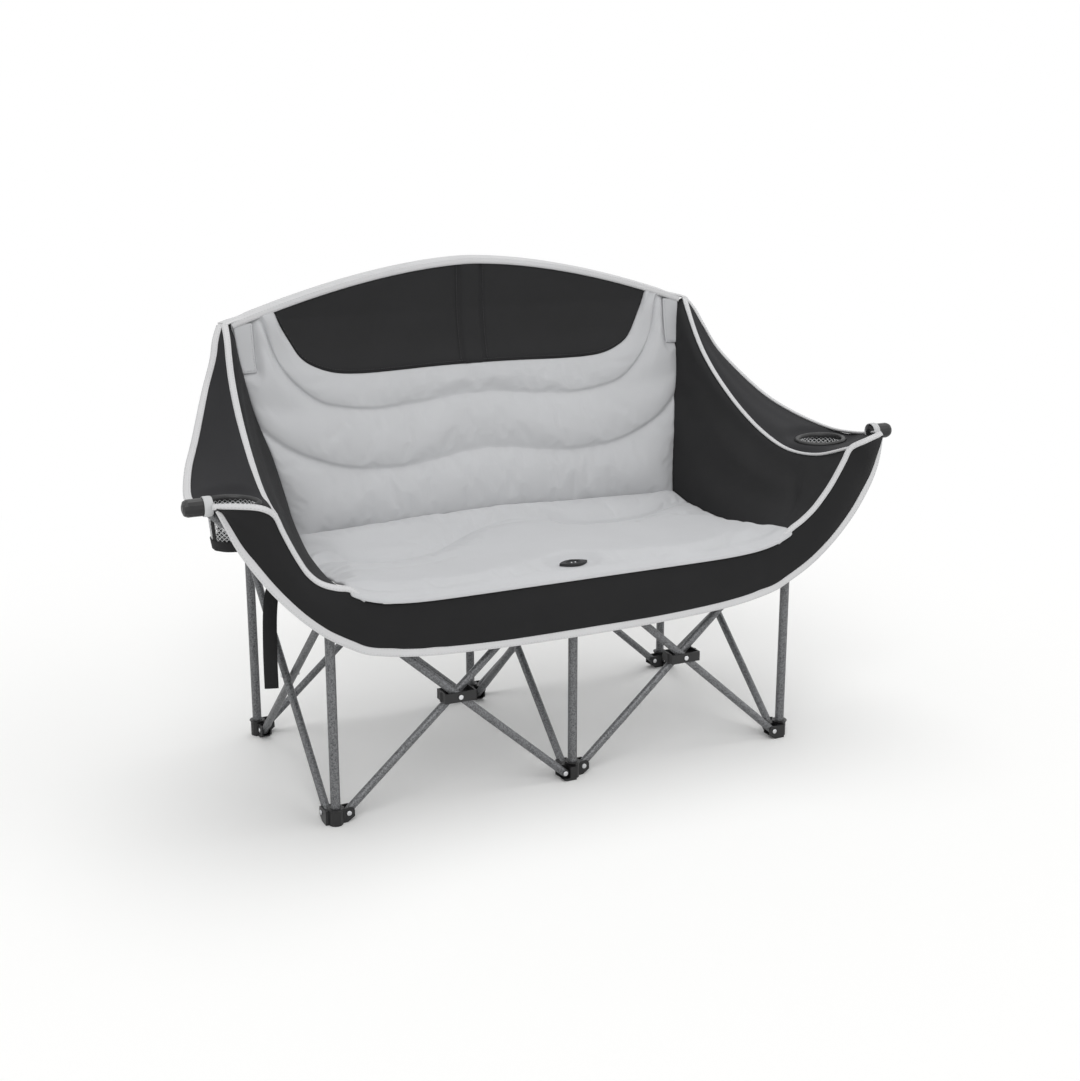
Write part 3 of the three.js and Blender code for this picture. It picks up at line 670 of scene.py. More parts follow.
def taped_edge(name, line, facing, width, thickness, steps, material=binding_tape, rows=tape_rows):
    """A folded tape along a line: a flat oval band whose broad face looks along facing,
    sewn down with a row of stitches near each edge."""
    corners, coordinates, faces = [], [], []
    length = 0
    previous = line(0)
    for step in range(steps + 1):
        spot, _, up, across = frame_along(line, facing, step / steps)
        length += (spot - previous).length
        previous = spot
        for turn in range(tape_sides):
            angle = 2 * math.pi * turn / tape_sides
            wide = squared(math.cos(angle), 0.7) * width / 2
            deep = squared(math.sin(angle), 0.8) * thickness / 2
            corners.append(at(*(spot + across * wide + up * deep)))
            coordinates.append((length, width * turn / tape_sides * 2))
    for step in range(steps):
        for turn in range(tape_sides):
            a = step * tape_sides + turn
            b = step * tape_sides + (turn + 1) % tape_sides
            faces.append((a, b, b + tape_sides, a + tape_sides))
    faces.append(tuple(reversed(range(tape_sides))))
    faces.append(tuple(range(steps * tape_sides, (steps + 1) * tape_sides)))
    kinds = [0] * len(faces)
    for row in rows:
        more, sides = stitch_row(line, facing, width * row, thickness * row_lift)
        faces += [tuple(index + len(corners) for index in side) for side in sides]
        corners += more
        kinds += [1] * len(sides)
    return new_piece(name, corners, faces, [material, sewing_thread], kinds, coordinates)


# Backrest: a padded panel of light grey cloth, quilted along two curved seams, under a
# smooth black head panel whose lower edge is a wide curve. It leans back from the seat
# to the arched top, where a light tape binds it to the black cover behind the posts.

back_half = 0.528
back_middle_top = 1.012
back_corner_top = 0.903
arch_power = 1.7
pad_base = 0.006
pad_swell = 0.011
pad_growth = 0.012
pad_round = 0.045
pad_edge_round = 0.04
pad_rows = (0, 28, 50, 66)
pad_columns = 132
least_row = 0.012
settling_turns = 4


def chain_of(line, count=60):
    return [line(k / count) for k in range(count + 1)]


def passing(chain, axis, value):
    """Where a chain of places passes a value along one axis; past an end, that end."""
    rising = chain[-1][axis] > chain[0][axis]
    for low, high in zip(chain, chain[1:]):
        if (high[axis] >= value) if rising else (high[axis] <= value):
            part = clamped((value - low[axis]) / (high[axis] - low[axis]))
            return [a + (b - a) * part for a, b in zip(low, high)]
    return list(chain[-1])


def profile(points):
    """A smooth curve through pairs of numbers, as a function that gives the second number
    for the first, or a stand-in past the last pair."""
    chain = chain_of(line_through([(first, 0, second) for first, second in points]))

    def reading(first, beyond=None):
        if beyond is not None and first >= chain[-1].x:
            return beyond
        return passing(chain, 0, first)[2]

    return reading


back_edge = chain_of(line_through([
    (0.452, 0.117, 0.4376), (0.456, 0.130, 0.506), (0.471, 0.152, 0.587), (0.483, 0.171, 0.647),
    (0.504, 0.203, 0.723), (0.515, 0.220, 0.787), (0.523, 0.234, 0.840), (0.528, 0.243, 0.903)]), 200)
pad_foot = profile([(0, 0.465), (0.16, 0.463), (0.30, 0.462), (0.42, 0.460), (0.453, 0.459)])
pad_foot_side = 0.459
head_edge = 0.440
head_foot = profile([
    (0, 0.789), (0.10, 0.788), (0.20, 0.785), (0.27, 0.785), (0.32, 0.790),
    (0.36, 0.804), (0.389, 0.824), (0.41, 0.860), (0.428, 0.895), (head_edge, 0.928)])
quilt_low = profile([
    (0, 0.612), (0.06, 0.608), (0.14, 0.596), (0.225, 0.590), (0.32, 0.599), (0.41, 0.629),
    (0.466, 0.662), (0.50, 0.695)])
quilt_low_side = 0.695
quilt_high = profile([
    (0, 0.726), (0.05, 0.725), (0.12, 0.717), (0.18, 0.712), (0.243, 0.710), (0.31, 0.718),
    (0.357, 0.731), (0.40, 0.764), (0.43, 0.80), (0.448, 0.84), (0.465, 0.905)])


def back_top(x):
    share = min(1, abs(x) / back_half)
    return back_middle_top - (back_middle_top - back_corner_top) * share ** arch_power


def edge_at(z):
    """The outer edge of the backrest at a height: its half width and its depth."""
    if z >= back_edge[-1].z:
        return back_half, back_edge[-1].y
    return passing(back_edge, 2, z)[:2]


def ripple(x, y, z):
    """Smooth noise between about -1 and 1."""
    return noise.noise(Vector((x, y, z)))


def bell(distance, reach):
    """1 at no distance, and close to 0 at twice the reach."""
    return math.exp(-(distance / reach) ** 2)


def arch(share):
    """0 at both ends and 1 halfway."""
    return math.sin(math.pi * share)


def pillow(distance, reach):
    share = min(1, distance / reach)
    return math.sqrt(max(0, 1 - (1 - share) ** 2))


def row_height(x, row):
    """Rows of the padding's net follow its lower edge, both quilt seams and the head panel."""
    across, top, row = abs(x), back_top(x), min(row, pad_rows[-1])
    third = min(head_foot(across, top), top)
    second = min(quilt_high(across, top), third - least_row)
    first = min(quilt_low(across, quilt_low_side), second - least_row)
    steps = (pad_foot(across, pad_foot_side), first, second, third)
    for low, high, start, end in zip(steps, steps[1:], pad_rows, pad_rows[1:]):
        if row <= end:
            share = (row - start) / (end - start)
            return low + (high - low) * share, share, high - low


def back_pad_spot(u, v):
    m = 2 * u - 1
    z = 0.7
    for _ in range(settling_turns):
        x = m * edge_at(z)[0]
        z, share, height = row_height(x, v * pad_rows[-1])
    half, depth = edge_at(z)
    across = share * height
    swell = pillow(min(across, height - across), pad_round) * pillow(half - abs(x) + 0.001, pad_edge_round)
    return Vector((x, depth - pad_base - pad_swell * swell, z))


quilt_lift = 0.0014
puff_moments = 20
puff_sideways = 0.004
puff_inward = 0.003


def puff(piece, held, pressure, growth, reach):
    """Air pressure swells the cloth between the corners that its seams hold."""
    rest = [corner.co.copy() for corner in piece.data.vertices]
    normals = [corner.normal.copy() for corner in piece.data.vertices]
    seams = piece.vertex_groups.new(name="seams")
    for index in range(len(rest)):
        seams.add([index], held(index), "REPLACE")
    select_only(piece)
    cloth = piece.modifiers.new("air", "CLOTH")
    for setting, value in (
            ("quality", 6), ("mass", 0.25), ("tension_stiffness", 25), ("compression_stiffness", 25),
            ("shear_stiffness", 8), ("bending_stiffness", 0.6), ("air_damping", 4),
            ("vertex_group_mass", "seams"), ("pin_stiffness", 1), ("shrink_min", -growth),
            ("use_pressure", True), ("uniform_pressure_force", pressure)):
        setattr(cloth.settings, setting, value)
    cloth.settings.effector_weights.gravity = 0
    cloth.collision_settings.use_collision = False
    cloth.point_cache.frame_start = 1
    cloth.point_cache.frame_end = puff_moments
    for moment in range(1, puff_moments + 1):
        bpy.context.scene.frame_set(moment)
    bpy.ops.object.modifier_apply(modifier="air")
    bpy.context.scene.frame_set(1)
    for corner, start, normal in zip(piece.data.vertices, rest, normals):
        move = corner.co - start
        outward = max(-puff_inward, min(reach, move.dot(normal)))
        aside = move - normal * move.dot(normal)
        if aside.length > puff_sideways:
            aside *= puff_sideways / aside.length
        corner.co = start + normal * outward + aside
    piece.vertex_groups.clear()
    piece.data.update()


def grid_place(index, across):
    return index % (across + 1), index // (across + 1)


def eased(share):
    return share * share * (3 - 2 * share)


back_pad = cloth_mesh("back_pad_cushion", back_pad_spot, pad_columns, pad_rows[-1], (0, -1, 0))[0]


def back_held(index):
    column, row = grid_place(index, pad_columns)
    if row in pad_rows or column in (0, pad_columns):
        return 1
    spot = back_pad.data.vertices[index].co
    return 0.9 if abs(spot.x) > 0.480 and spot.z > 0.79 else 0


def net_row(piece, row, across):
    """The line of a net's row, in the frame that the lines of this script use."""
    first = row * (across + 1)
    spots = [corner.co for corner in piece.data.vertices[first:first + across + 1]]
    return line_through([(spot.x, spot.y - depth_shift, spot.z) for spot in spots], 200)


puff(back_pad, back_held, 3, pad_growth, 0.012)
for corner in back_pad.data.vertices:
    beside = clamped((abs(corner.co.x) - 0.474) / 0.014)
    above = clamped((corner.co.z - 0.786) / 0.016)
    flush = edge_at(corner.co.z)[1] + depth_shift - 0.001
    corner.co.y += (flush - corner.co.y) * eased(beside * above)
quilt_rows = [net_row(back_pad, row, pad_columns) for row in pad_rows[1:3]]
thicken(back_pad, pad_base)
back_pad.data.materials.append(grey_polyester)


def fold_inward(piece, body, slot=None, *replaced):
    """Puts a piece that spans the frame on one body of the frame, with a mesh of its own."""
    fasten(piece, body, slot, *replaced)
    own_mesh(piece)


def fold_with_back(piece, slot=None, *replaced):
    fold_inward(piece, "back_middle_post", slot, *replaced)


def fold_seam_with_back(name, line, lift, thread, facing=toward(0, -1, 0.2)):
    fold_with_back(seam_stitches(name, line, facing, lift, thread))


def cloth_sheet(name, place, across, up, outward, thickness, material, offset=-1):
    """A sheet of cloth that the frame stretches, with its real thickness and flat size."""
    piece, flat, area = cloth_mesh(name, place, across, up, outward)
    thicken(piece, thickness, offset)
    piece.data.materials.append(material)
    return piece


fold_with_back(back_pad, "grey_cloth", "back_pad")
for name, line in zip(("lower", "upper"), quilt_rows):
    fold_seam_with_back(f"back_{name}_quilt_stitches", line, quilt_lift, sewing_thread)

post_sleeve_half = 0.026
sleeve_proud = 0.0035
sleeve_crease = 0.0055
tape_recess = 0.001
tape_reach = 0.025
crease_width = 0.0045
panel_wave = 0.0025
panel_lift = 0.005
panel_roll = 0.004
head_stitch_lift = 0.0100
sleeve_stitches = 0.031
sleeve_stitch_lift = 0.0105
sleeve_heights = (0.797, 0.85, 0.90, 0.95, 0.998)


def head_spot(u, v):
    x = (2 * u - 1) * head_edge
    top = back_top(x)
    low = min(top - 0.004, head_foot(abs(x), top) - 0.003)
    z = low + (top - low) * v
    below_tape = min(1, (top - z) / tape_reach)
    crease = sleeve_crease * bell(abs(x) - post_sleeve_half, crease_width)
    inside = abs(x) < post_sleeve_half
    sleeve = below_tape * sleeve_proud if inside else (below_tape - 1) * tape_recess
    wave = below_tape * panel_wave * ripple(x * 7, 0, z * 5)
    roll = panel_roll * pillow(z - low, 0.012)
    return Vector((x, edge_at(z)[1] - panel_lift - roll + crease - sleeve + wave, z))


head_panel = cloth_sheet("head_panel_cloth", head_spot, 176, 26, (0, -1, 0), 0.004, black_polyester)
fold_with_back(head_panel, "black_cloth", "head_panel")


def head_stitch_line(share):
    x = (2 * share - 1) * (head_edge - 0.006)
    z = min(back_top(x) - 0.012, head_foot(abs(x), 1) + 0.006)
    return Vector((x, edge_at(z)[1] - head_stitch_lift, z))


fold_seam_with_back("head_panel_stitches", head_stitch_line, 0, dark_thread)
for name, side in both_sides:
    sleeve_line = line_through([
        (side * sleeve_stitches, edge_at(z)[1] - sleeve_stitch_lift, z) for z in sleeve_heights])
    fold_seam_with_back(f"{name}_sleeve_stitches", sleeve_line, 0, dark_thread)

rear_foot = 0.640
rear_depth = 0.2655
rear_slack = 0.0015
rear_hem = 0.006
post_reach = 0.02


def rear_spot(u, v):
    x = (2 * u - 1) * back_half
    z = rear_foot + (back_top(x) - rear_hem - rear_foot) * v
    from_post = min(abs(abs(x) - bay), abs(x))
    bulge = bell(from_post, post_reach) + ripple(x * 6, 4, z * 6)
    return Vector((x, rear_depth + rear_slack * bulge, z))


rear_cover = cloth_sheet("rear_cover_cloth", rear_spot, 80, 24, (0, 1, 0), 0.0025, black_polyester, 1)
fold_with_back(rear_cover, "black_cloth", "rear_cover")

arch_steps = [step / 20 for step in range(-20, 21)]
corner_run = [(0.505, 0.2495, 0.9105), (0.528, 0.2475, 0.905), (0.546, 0.243, 0.900)]
top_points = [(share * 0.48, 0.2525, back_top(share * 0.48) + 0.0005) for share in arch_steps]
top_line = line_through([(-x, y, z) for x, y, z in reversed(corner_run)] + top_points + corner_run, 160)
top_tape = taped_edge("back_top_tape", top_line, toward(0, 0, 1), 0.034, 0.006, 160)
fold_with_back(top_tape, "grey_webbing", "back_top_binding")
front_line = line_through([
    (share * back_half, 0.2335, back_top(share * back_half) - 0.0062) for share in arch_steps], 120)
front_tape = taped_edge("back_front_tape", front_line, toward(0, -1, 0.1), 0.0135, 0.006, 140)
fold_with_back(front_tape, "grey_webbing")

# Sleeves for the outer posts show as sewn patches on the upper corners of the backrest,
# of the same grey cloth, folded in and stitched down along their inner and lower edges.

patch_inner = 0.485
patch_foot = 0.800
patch_top = back_top(0.50) - 0.012


def patch_spot(u, v):
    z = patch_foot + (patch_top - patch_foot) * v
    half, depth = edge_at(z)
    return Vector((patch_inner + (half - 0.002 - patch_inner) * u, depth - pad_base - 0.0035, z))


patch_rim = line_through([
    patch_spot(u, v) - Vector((0, 0.0005, 0))
    for u, v in ((0.12, 0.97), (0.12, 0.5), (0.12, 0.1), (0.13, 0.06), (0.22, 0.055), (0.95, 0.05))])
for name, side in both_sides:
    patch = cloth_sheet(
        f"{name}_post_sleeve_patch", mirrored(patch_spot, side), 8, 18, (0, -1, 0), 0.005, grey_polyester)
    fold_with_back(patch, "grey_cloth")
    fold_seam_with_back(
        f"{name}_patch_stitches", mirrored(patch_rim, side), 0, sewing_thread, toward(0, -1, 0))

# Sides and arms: black side panels rise from the seat to a light piping, and a black arm
# top, darkened a little as painted shade against the light from above, slopes from there to
# a second piping outside. Both run to the arm tips, where webbing loops hold them; the
# panels are lightly padded and hang with a little slack.

seat_side = line_through([
    (0.453, 0.122, 0.474), (0.457, 0.085, 0.463), (0.461, 0.030, 0.454), (0.466, -0.050, 0.449),
    (0.467, -0.110, 0.451), (0.472, -0.170, 0.458), (0.479, -0.235, 0.468), (0.484, -0.302, 0.479)])
front_edges = {
    1: line_through([
        (0.481, -0.302, 0.474), (0.527, -0.309, 0.511), (0.556, -0.314, 0.546), (0.578, -0.315, 0.576),
        (0.596, -0.315, 0.605), (0.619, -0.314, 0.640)]),
    -1: line_through([
        (0.481, -0.302, 0.474), (0.511, -0.309, 0.487), (0.535, -0.312, 0.497), (0.556, -0.314, 0.510),
        (0.576, -0.314, 0.538), (0.595, -0.314, 0.574), (0.611, -0.314, 0.609), (0.623, -0.314, 0.636)])}
inner_lines = {
    1: line_through([
        (0.543, 0.234, 0.901), (0.536, 0.200, 0.868), (0.535, 0.168, 0.826), (0.536, 0.129, 0.782),
        (0.541, 0.073, 0.732), (0.551, -0.002, 0.677), (0.562, -0.081, 0.635), (0.573, -0.160, 0.612),
        (0.592, -0.240, 0.614), (0.619, -0.314, 0.640)]),
    -1: line_through([
        (0.543, 0.234, 0.901), (0.547, 0.206, 0.874), (0.553, 0.178, 0.839), (0.558, 0.150, 0.805),
        (0.563, 0.112, 0.768), (0.568, 0.060, 0.722), (0.574, -0.010, 0.674), (0.581, -0.090, 0.633),
        (0.587, -0.160, 0.614), (0.599, -0.235, 0.615), (0.623, -0.314, 0.636)])}
outer_line = line_through([
    (0.551, 0.242, 0.898), (0.566, 0.224, 0.872), (0.579, 0.203, 0.836), (0.607, 0.172, 0.777),
    (0.655, 0.083, 0.700), (0.691, 0.005, 0.660), (0.722, -0.104, 0.636), (0.732, -0.200, 0.640),
    (0.722, -0.272, 0.655)])
arm_front = line_through([
    (0.621, -0.314, 0.638), (0.650, -0.322, 0.652), (0.690, -0.305, 0.656), (0.722, -0.272, 0.655)])
arm_rear = line_through([(0.543, 0.234, 0.901), (0.547, 0.239, 0.901), (0.551, 0.242, 0.898)])
side_rear = line_through([
    (0.450, 0.124, 0.469), (0.453, 0.135, 0.520), (0.464, 0.156, 0.587), (0.476, 0.175, 0.647),
    (0.497, 0.206, 0.723), (0.509, 0.222, 0.787), (0.518, 0.235, 0.840), (0.524, 0.240, 0.885),
    (0.531, 0.240, 0.899), (0.543, 0.234, 0.901)])
arm_thickness = 0.003
cup_across = 0.656
cup_depth = -0.160
cup_slope = 0.05
cup_hole = 0.0525
flat_reach = 0.085
flat_fade = 0.027
cup_places = {}
side_ripple = 0.008
side_slack = 0.004
side_pull = 0.004
pull_reach = 0.12
side_crease = 0.007
side_crease_reach = 0.022
arm_ripple = 0.004
arm_sag = 0.005


def middle_share(u, v):
    """1 in the middle of a sheet and 0 along its four edges."""
    return arch(u) * arch(v)


def side_place(side):
    surface = spanned(
        lambda share: seat_side(share) + Vector((-0.003, 0.002 * (1 - share), -0.005)),
        inner_lines[side], side_rear, front_edges[side])

    def spot(u, v):
        slack = (ripple(u * 3, v * 4, 1) * side_ripple - side_slack) * middle_share(u, v)
        near_front = side_pull * math.exp(-(1 - u) / pull_reach) * arch(v)
        pull = ripple(u * 14, v * 3, 5) * near_front
        along_crease = arch(min(1, v * 1.1)) ** 2
        crease = side_crease * bell(u - 0.90 + 0.10 * v, side_crease_reach) * along_crease
        return surface(u, v) + Vector((slack + pull + crease, 0, 0))
    return mirrored(spot, side)


def arm_place(side):
    surface = spanned(inner_lines[side], outer_line, arm_rear, arm_front)

    def spot(u, v):
        sag = (ripple(u * 4, v * 3, 2) * arm_ripple - arm_sag) * middle_share(u, v)
        return surface(u, v) + Vector((0, 0, sag))
    return mirrored(spot, side)


def fold_with_side(piece, name, slot, *replaced):
    fasten(piece, f"back_{name}_post", slot, *replaced)
    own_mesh(piece)


for name, side in both_sides:
    panel = cloth_sheet(
        f"{name}_side_cloth", side_place(side), 60, 30, (-side, 0, 0), 0.004, black_polyester)
    fold_with_side(panel, name, "black_cloth", f"{name}_side_panel")

    arm, arm_flat, arm_area = cloth_mesh(f"{name}_arm_cloth", arm_place(side), 72, 18, (0, 0, 1))
    centre = at(side * cup_across, cup_depth, 0)
    centre.z = min(arm.data.vertices, key=lambda corner: (corner.co.xy - centre.xy).length).co.z
    for corner in arm.data.vertices:
        gap = corner.co.xy - centre.xy
        level = centre.z + gap.x * side * cup_slope
        corner.co.z += (level - corner.co.z) * eased(clamped((flat_reach - gap.length) / flat_fade))
    cup_places[side] = centre
    thicken(arm, arm_thickness)
    select_only()
    bpy.ops.mesh.primitive_cylinder_add(vertices=48, radius=cup_hole, depth=0.3, location=centre)
    cutter = bpy.context.active_object
    apply_modifier(arm, "BOOLEAN", object=cutter, operation="DIFFERENCE", solver="EXACT")
    bpy.data.objects.remove(cutter)
    # The arm cloth takes the black cloth darkened as painted shade, against the light from above.
    arm.data.materials.clear()
    arm.data.materials.append(arm_painted_shade_polyester)
    fold_with_side(arm, name, "black_cloth", f"{name}_arm_top")

    for place, line, facing, width in (
            ("inner", inner_lines[side], (side * 0.3, -0.25, 0.9), 0.0135),
            ("outer", outer_line, (side * 0.35, -0.2, 0.9), 0.0155)):
        tape = taped_edge(f"{name}_{place}_piping", mirrored(line, side), toward(*facing), width, 0.006, 110)
        fold_with_side(tape, name, "grey_webbing")

# Front apron: one black band from arm tip to arm tip, low across the front of the seat,
# bound with light tape along its lower edge and, beside the seat, along its upper edge.

apron_ends = [(0.722, -0.283, 0.655), (0.690, -0.308, 0.658), (0.650, -0.324, 0.654)]
apron_middle = [
    (0.484, -0.305, 0.479), (0.455, -0.304, 0.456), (0.42, -0.305, 0.443), (0.35, -0.305, 0.438),
    (0.20, -0.305, 0.438), (0.10, -0.305, 0.441), (0, -0.305, 0.442)]
apron_ahead = Vector((0, 0.002, 0))
apron_tops = {}
for side in (-1, 1):
    rise = [
        front_edges[side](share) - apron_ahead for share in (1, 0.86, 0.72, 0.58, 0.44, 0.3, 0.15)]
    apron_tops[side] = line_through(apron_ends + rise + apron_middle, 120)
apron_piped = 0.452
apron_bow = 0.010
apron_ripple = 0.004
apron_crease = 0.003
apron_crease_reach = 0.006
apron_low = line_through([
    (0.712, -0.291, 0.651), (0.698, -0.303, 0.616), (0.687, -0.308, 0.590), (0.669, -0.313, 0.558),
    (0.639, -0.316, 0.514), (0.607, -0.316, 0.475), (0.570, -0.314, 0.437), (0.528, -0.309, 0.401),
    (0.482, -0.303, 0.372), (0.44, -0.300, 0.353), (0.34, -0.299, 0.336), (0.17, -0.301, 0.328),
    (0, -0.302, 0.326)], 120)
crease_places = (0.262, 0.315, 0.742)


def from_tip(share):
    """Counts a share of the whole width from the nearer arm tip: its side, and the share."""
    return (-1 if share < 0.5 else 1), 1 - abs(2 * share - 1)


def apron_spot(u, v):
    side, share = from_tip(u)
    spot = apron_low(share).lerp(apron_tops[side](share), v)
    proud = (ripple(u * 9, v * 1.5, 6) * apron_ripple - apron_bow) * arch(v)
    for place in crease_places:
        crease = apron_crease * bell(u - place - 0.012 * v, apron_crease_reach)
        proud += crease * (0.3 + 0.7 * v) * min(1, (1 - v) * 6)
    return Vector((side * spot.x, spot.y + proud, spot.z))


def apron_low_line(share):
    side, share = from_tip(share)
    return apron_low(share) * Vector((side, 1, 1))


# The apron takes the darker copy of the black cloth: painted shade below the seat's front edge.
apron = cloth_sheet("front_apron_cloth", apron_spot, 128, 14, (0, -1, 0), 0.003, apron_painted_shade_polyester)
fold_inward(apron, "front_middle_hub", "black_cloth", "front_apron")
low_tape = taped_edge("apron_lower_tape", apron_low_line, toward(0, -1, 0.1), 0.018, 0.007, 200)
fold_inward(low_tape, "front_middle_hub", "grey_webbing")
for name, side in both_sides:
    upper = mirrored(lambda share, side=side: apron_tops[side](share * apron_piped), side)
    upper_tape = taped_edge(f"{name}_apron_piping", upper, toward(-side * 0.5, -0.8, 0.3), 0.0115, 0.006, 90)
    fold_inward(upper_tape, "front_middle_hub", "grey_webbing")

# Seat: one long cushion of light grey cloth over thin padding, slung between the hubs
# and rising to the backrest. A curved seam crosses it near the back, its front edge
# rolls over the apron, and it is creased where it meets the side panels. It is cut in
# three strips on the frame's folding bays.

seat_back = 0.124
seat_front = -0.302
seat_swell = 0.010
seat_growth = 0.014
seat_rows = (0, 44, 66)
lip_rows = 5
lip_radius = 0.010
lip_turn = math.radians(100)
seat_columns = 150
seat_thickness = 0.0065
seat_round = 0.05
seat_edge_round = 0.035
hammock_sag = 0.007
cushion_crease = math.radians(62)
plate_depth = -0.255
plate_level = 0.4512
plate_half = 0.038
plate_half_depth = 0.024
seat_crease = 0.0024
seat_crease_reach = 0.004
gathered_side = 0.462
gather_height = 0.0035
side_chain = chain_of(seat_side)
seam_depth = profile([
    (-0.47, -0.045), (-0.424, -0.022), (-0.328, -0.050), (-0.215, -0.028), (-0.129, 0.022), (-0.077, 0.045),
    (0.011, 0.066), (0.088, 0.052), (0.172, 0.022), (0.309, 0.018), (0.39, 0.040), (0.47, 0.062)])
middle_level = profile([
    (-0.302, 0.4475), (-0.22, 0.448), (-0.10, 0.446), (0.0, 0.448), (0.05, 0.459), (0.080, 0.474),
    (0.098, 0.482), (0.112, 0.480), (0.124, 0.470)])


def seat_spot(u, v):
    row = v * (seat_rows[-1] + lip_rows)
    m = 2 * u - 1
    drop = 0
    if row <= lip_rows:
        turn = (1 - row / lip_rows) * lip_turn
        y = seat_front - lip_radius * math.sin(turn)
        drop = lip_radius * (1 - math.cos(turn))
        share, length = 0, 1
    else:
        row -= lip_rows
        middle = seam_depth(m * 0.465)
        if row <= seat_rows[1]:
            share = row / seat_rows[1]
            length = middle - seat_front
            y = seat_front + length * share
        else:
            share = (row - seat_rows[1]) / (seat_rows[2] - seat_rows[1])
            length = seat_back - middle
            y = middle + length * share
    half, _, side_level = passing(side_chain, 1, min(y, seat_back))
    x = m * half
    power = 9 - 6.5 * clamped((y + 0.05) / 0.15)
    level = middle_level(y)
    z = level + (side_level - level) * abs(m) ** power
    hammock = hammock_sag * arch(min(1, abs(x) / bay)) ** 2 * arch(clamped(v))
    across = share * length
    to_edge = min(across + 0.03 * (1 - min(1, row / 3)), length - across)
    swell = 0 if drop else pillow(to_edge, seat_round) * pillow(half - abs(x) + 0.001, seat_edge_round)
    return Vector((x, y, z - drop - hammock + seat_swell * swell))


seat = cloth_mesh("seat_whole", seat_spot, seat_columns, seat_rows[-1] + lip_rows, (0, 0, 1))[0]


def seat_held(index):
    column, row = grid_place(index, seat_columns)
    if row in (0, seat_rows[1] + lip_rows, seat_rows[-1] + lip_rows) or column in (0, seat_columns):
        return 1
    return 0.7 if row <= lip_rows else 0


puff(seat, seat_held, 2.5, seat_growth, 0.010)
seat_creases = [chain_of(line_through(points), 30) for points in (
    [(-0.47, -0.085, 0), (-0.40, -0.10, 0), (-0.30, -0.098, 0), (-0.20, -0.075, 0), (-0.10, -0.04, 0)],
    [(-0.47, -0.125, 0), (-0.38, -0.145, 0), (-0.28, -0.142, 0), (-0.20, -0.125, 0)],
    [(0.47, 0.0, 0), (0.40, -0.028, 0), (0.30, -0.035, 0), (0.20, -0.02, 0)])]


def from_crease(spot):
    """How far a place on the seat lies from the nearest of its creases."""
    nearest = 1
    for chain in seat_creases:
        for low, high in zip(chain, chain[1:]):
            span = high - low
            part = clamped((spot - low).dot(span) / span.length_squared)
            nearest = min(nearest, (spot - low - span * part).length)
    return nearest


for corner in seat.data.vertices:
    spot = Vector((corner.co.x, corner.co.y - depth_shift, 0))
    to_side = gathered_side - abs(spot.x)
    gather = gather_height * ripple(spot.x * 5, spot.y * 42, 7)
    corner.co.z -= seat_crease * bell(from_crease(spot), seat_crease_reach)
    corner.co.z += gather * math.exp(-abs(to_side) / 0.045 - abs(spot.y - 0.02) / 0.07)
    to_plate = math.hypot(spot.x / plate_half, (spot.y - plate_depth) / plate_half_depth)
    press = clamped((1.9 - to_plate) / 0.8) * clamped((spot.y - seat_front - 0.004) / 0.022)
    corner.co.z += (min(corner.co.z, plate_level) - corner.co.z) * eased(press)
seat_seam = net_row(seat, seat_rows[1] + lip_rows, seat_columns)
thicken(seat, seat_thickness)
seat.data.materials.append(grey_polyester)
seat_thread = seam_stitches("seat_stitches", seat_seam, toward(0, -0.1, 1), quilt_lift, sewing_thread)
seat = joined("seat_whole", [seat, seat_thread])

strip_half = 0.17
strips = (
    ("left", "left_side", (None, -strip_half)), ("middle", "middle", (-strip_half, strip_half)),
    ("right", "right_side", (strip_half, None)))
for name, pair, cuts in strips:
    strip = duplicate(seat)
    strip.name = f"seat_{name}_cushion"
    select_only(strip)
    for cut, keep_higher in zip(cuts, (True, False)):
        if cut is not None:
            enter("EDIT")
            bpy.ops.mesh.select_all(action="SELECT")
            bpy.ops.mesh.bisect(
                plane_co=(cut, 0, 0), plane_no=(1, 0, 0), use_fill=True,
                clear_inner=keep_higher, clear_outer=not keep_higher)
            enter("OBJECT")
    bpy.ops.object.shade_smooth_by_angle(angle=cushion_crease)
    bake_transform(strip)
    if name == "middle":
        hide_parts("seat_pad")
bpy.data.objects.remove(seat)

# Clamp plate: a black moulded lens with two raised rings, which two small zinc-plated
# rivets hold through the seat cloth to the roof of the middle hub.

plate_rings = ((0.0150, -0.0002), (0.0095, -0.0016))
plate_rivet_radius = 0.0019
plate_rivet_flatness = 0.6
plate_rivet_spots = ((-0.0042, 0, -0.0014), (0.0042, 0, -0.0014))
plate_low, plate_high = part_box("seat_clamp_plate")
plate_middle = Vector(((plate_low[0] + plate_high[0]) / 2, (plate_low[1] + plate_high[1]) / 2, plate_high[2]))


def plate_piece(name, parts, material):
    piece = joined(name, parts)
    bpy.ops.object.shade_smooth()
    piece.data.materials.append(material)
    fasten(piece, "front_middle_hub")


ridges = []
for ridge_radius, rise in plate_rings:
    select_only()
    bpy.ops.mesh.primitive_torus_add(
        major_radius=ridge_radius, minor_radius=0.0009, major_segments=48, minor_segments=8,
        location=plate_middle + Vector((0, 0, rise)))
    ridges.append(bpy.context.active_object)
plate_piece("clamp_plate_rings", ridges, black_nylon)
pins = []
for place in plate_rivet_spots:
    select_only()
    bpy.ops.mesh.primitive_uv_sphere_add(
        segments=16, ring_count=8, radius=plate_rivet_radius, location=plate_middle + Vector(place))
    bpy.context.active_object.scale.z = plate_rivet_flatness
    pins.append(bpy.context.active_object)
plate_piece("clamp_plate_rivets", pins, zinc)

# Cup holders: a moulded black ring lies in a round hole of each arm cloth, tilted with it,
# and a pouch of knotted light net hangs inside, with a black bottom and three black straps.
# The net is polyester cord of about 1 mm; its strands are drawn at 2.1 mm, so that they show.

